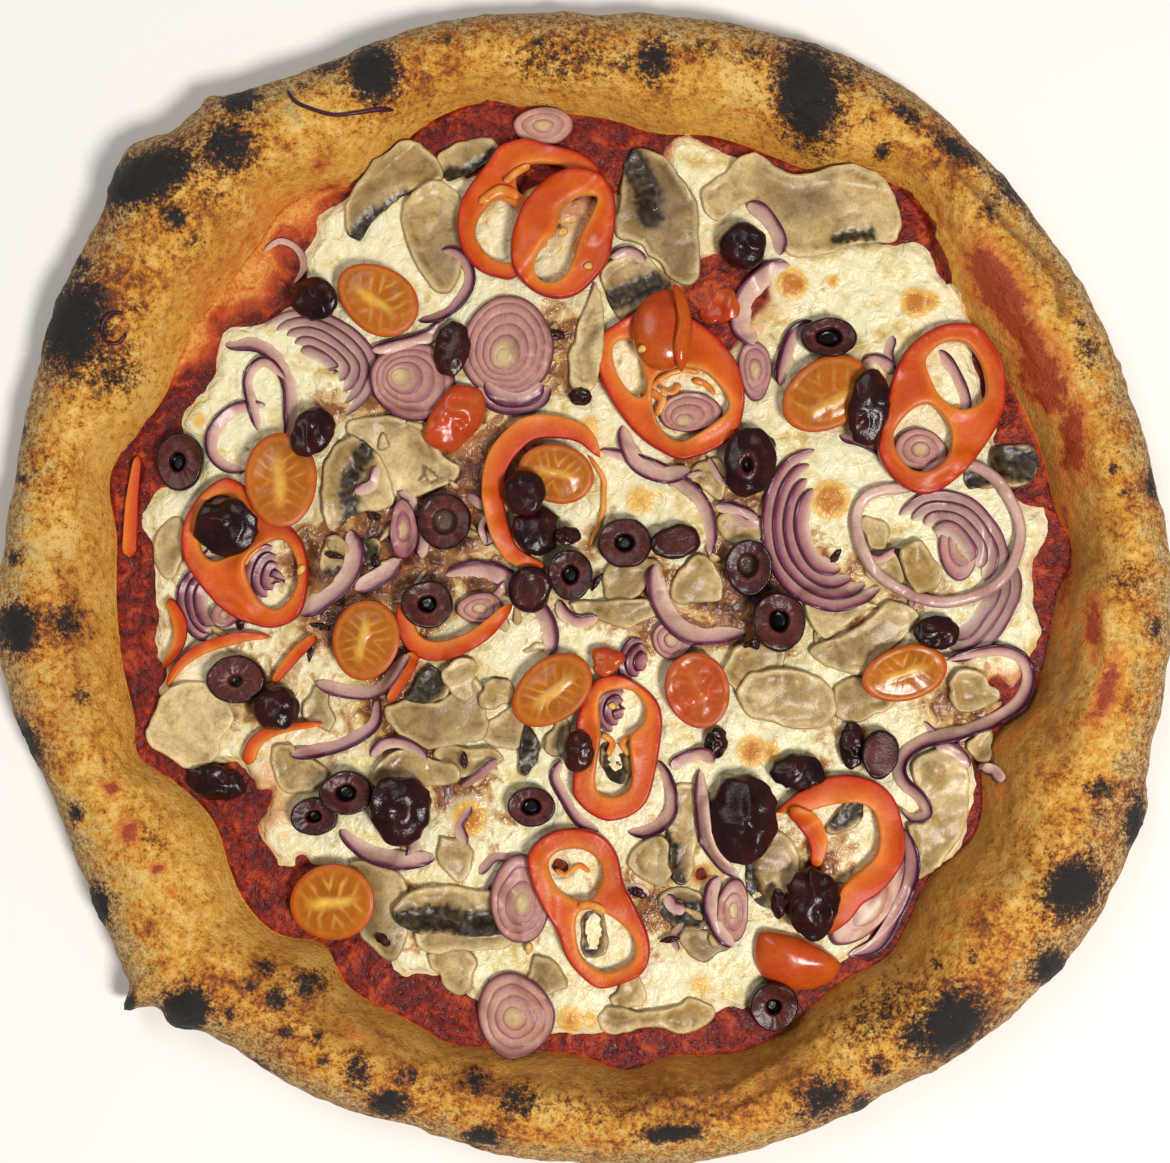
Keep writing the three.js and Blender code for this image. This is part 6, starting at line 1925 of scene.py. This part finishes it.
# Small bits among the toppings: middle and half width of a patch in pixels, and how many.
bit_random = np.random.default_rng(8)
for x, y, half, count in [
    (400, 560, 100, 26), (560, 590, 90, 14), (740, 600, 50, 8), (690, 900, 60, 12), (430, 800, 60, 8),
    (440, 480, 60, 10), (240, 590, 50, 8), (880, 600, 70, 10), (560, 350, 40, 6), (700, 480, 50, 8),
    (960, 740, 40, 6), (440, 900, 60, 8),
]:
    for _ in range(count):
        across, down, turn = bit_random.uniform(-1, 1, 3)
        long, wide = bit_random.uniform(10, 26), bit_random.uniform(5, 12)
        at = (x + across * half, y + down * half)
        kind = bit_random.integers(4)
        if kind < 2:
            piece(1.15, mushroom, round_places(*at, long, wide, 180 * turn, len(jobs), 0.2), seed=len(jobs),
                  tone=0.4 * across, grey=0.3 * down, tall=2.0, rim=0.6)
        elif kind == 2:
            bend = turned_by(np.array(((-long, 0), (0, 0.5 * long), (long, 0))), 180 * turn)
            piece(1.2, onion_arc, (at + bend).tolist(), 0.8 * wide, tone=0.5 * across, dark=0.8)
        else:
            piece(1.25, olive, at, 0.8 * long, 0.8 * wide, 180 * turn, seed=len(jobs), tall=2.0, brown=0.6)

# Loose seeds: place, length and turn. Then two threads on the rim.
for at, long, turn in [
    ((563, 234), 3.2, 40), ((302, 570), 3.4, 60), ((529, 948), 3.6, 80), ((588, 268), 2.6, 10),
    ((641, 352), 2.6, 30), ((612, 706), 2.4, 0),
]:
    piece(LAST, seed, at, long, 2.1, turn)
piece(LAST, strand, [(292, 98), (302, 112), (320, 120), (340, 125), (360, 123), (380, 119), (397, 117)], 4)
piece(LAST, strand, [(133, 318), (120, 320), (112, 332), (116, 346), (128, 348), (136, 338)], 3.4)


# ---------------------------------------------------------------- everything together
ground = first_ground()
note_dough(make_crust(), ground)
make_sauce()
make_cheese()
# The number of a job is its own, so sorting never compares more than layers and numbers.
for layer, number, make, places, looks in sorted(jobs):
    make(*places, **looks)


def nodes_like(*starts):
    return [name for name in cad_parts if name.startswith(starts)]


JUICY = soft((1.8, 0.7, 0.3), 0.12)
heaps["pepper"].make("bell_pepper", topping_look("bell pepper", 0.35, 0.9, 0.1, 0.12, {}), "pepper",
                     nodes_like("pepper_"))
heaps["tomato"].make("cherry_tomatoes", topping_look("cherry tomato", 0.42, 1.2, 0.07, 0.16, JUICY), "tomato",
                     nodes_like("tomato_half", "tomato_back"))
heaps["olive"].make("olives", topping_look("black olive", 0.32, 0.7, 0.14, 0.4, {},
                                           (0.9, 0.62, 0.8, 0.5, (96, 50, 42))), "olive", nodes_like("olive"))
heaps["onion"].make("red_onion", topping_look("red onion", 0.35, 0.9, 0.07, 0.14, {}),
                    "onion", nodes_like("onion_"))
heaps["mushroom"].make("mushrooms", topping_look("mushroom", 0.42, 0.8, 0.12, 0.25, {},
                                                 (1.1, 0.6, 0.8, 0.4, (120, 84, 48))), "mushroom",
                       nodes_like("mushroom"))
heaps["seed"].make("pepper_seeds", topping_look("pepper seed", 0.4, 0.6, 0.05, 0.15, {}), "pepper", [])
heaps["strand"].make("onion_threads", topping_look("onion thread", 0.4, 0.6, 0.05, 0.3, {}), "onion", [])


# ---------------------------------------------------------------- floor, light and camera
def flat_look(name, colour, roughness):
    look = Look(name, roughness)
    look.set("Base Color", rgb(*colour))
    return look.material


# Metres, watts and colours of the studio.
FLOOR_HALF = 1.5
FLOOR_COLOUR = (251, 247, 241)
WORLD_STRENGTH = 0.2
KEY = dict(place=(0.5, -0.5, 1.25), size=0.36, power=17.0, colour=(1, 0.985, 0.96))
FILL = dict(place=(-0.6, 0.7, 1.2), size=0.9, power=5.5, colour=(1, 1, 1))


def make_floor():
    mesh = bpy.data.meshes.new("floor")
    corners = [(x * FLOOR_HALF, y * FLOOR_HALF, 0) for x, y in ((-1, -1), (1, -1), (1, 1), (-1, 1))]
    mesh.from_pydata(corners, [], [(0, 1, 2, 3)])
    mesh.materials.append(flat_look("pale floor", FLOOR_COLOUR, 0.9))
    floor = bpy.data.objects.new("floor", mesh)
    bpy.context.scene.collection.objects.link(floor)


def area_light(name, place, size, power, colour):
    """A round soft light that points at the pizza's middle."""
    data = bpy.data.lights.new(name, "AREA")
    data.shape = "DISK"
    data.size = size
    data.energy = power
    data.color = colour
    light = bpy.data.objects.new(name, data)
    light.location = place
    light.rotation_euler = (-Vector(place)).to_track_quat("-Z", "Y").to_euler()
    bpy.context.scene.collection.objects.link(light)


def light_up():
    world = bpy.data.worlds.new("studio")
    world.use_nodes = True
    background = world.node_tree.nodes["Background"]
    background.inputs["Color"].default_value = (1, 1, 1, 1)
    background.inputs["Strength"].default_value = WORLD_STRENGTH
    bpy.context.scene.world = world
    bpy.context.scene.view_settings.view_transform = "Standard"
    area_light("key", **KEY)
    area_light("fill", **FILL)


def make_camera():
    data = bpy.data.cameras.new("camera")
    data.sensor_fit = "HORIZONTAL"
    data.sensor_width = SENSOR
    data.lens = SENSOR * EYE_HEIGHT / (PHOTO_SIZE[0] * MM_PER_PIXEL)
    camera = bpy.data.objects.new("camera", data)
    camera.location = (*(EYE * MM), EYE_HEIGHT * MM)
    bpy.context.scene.collection.objects.link(camera)
    bpy.context.scene.camera = camera


make_floor()
light_up()
make_camera()
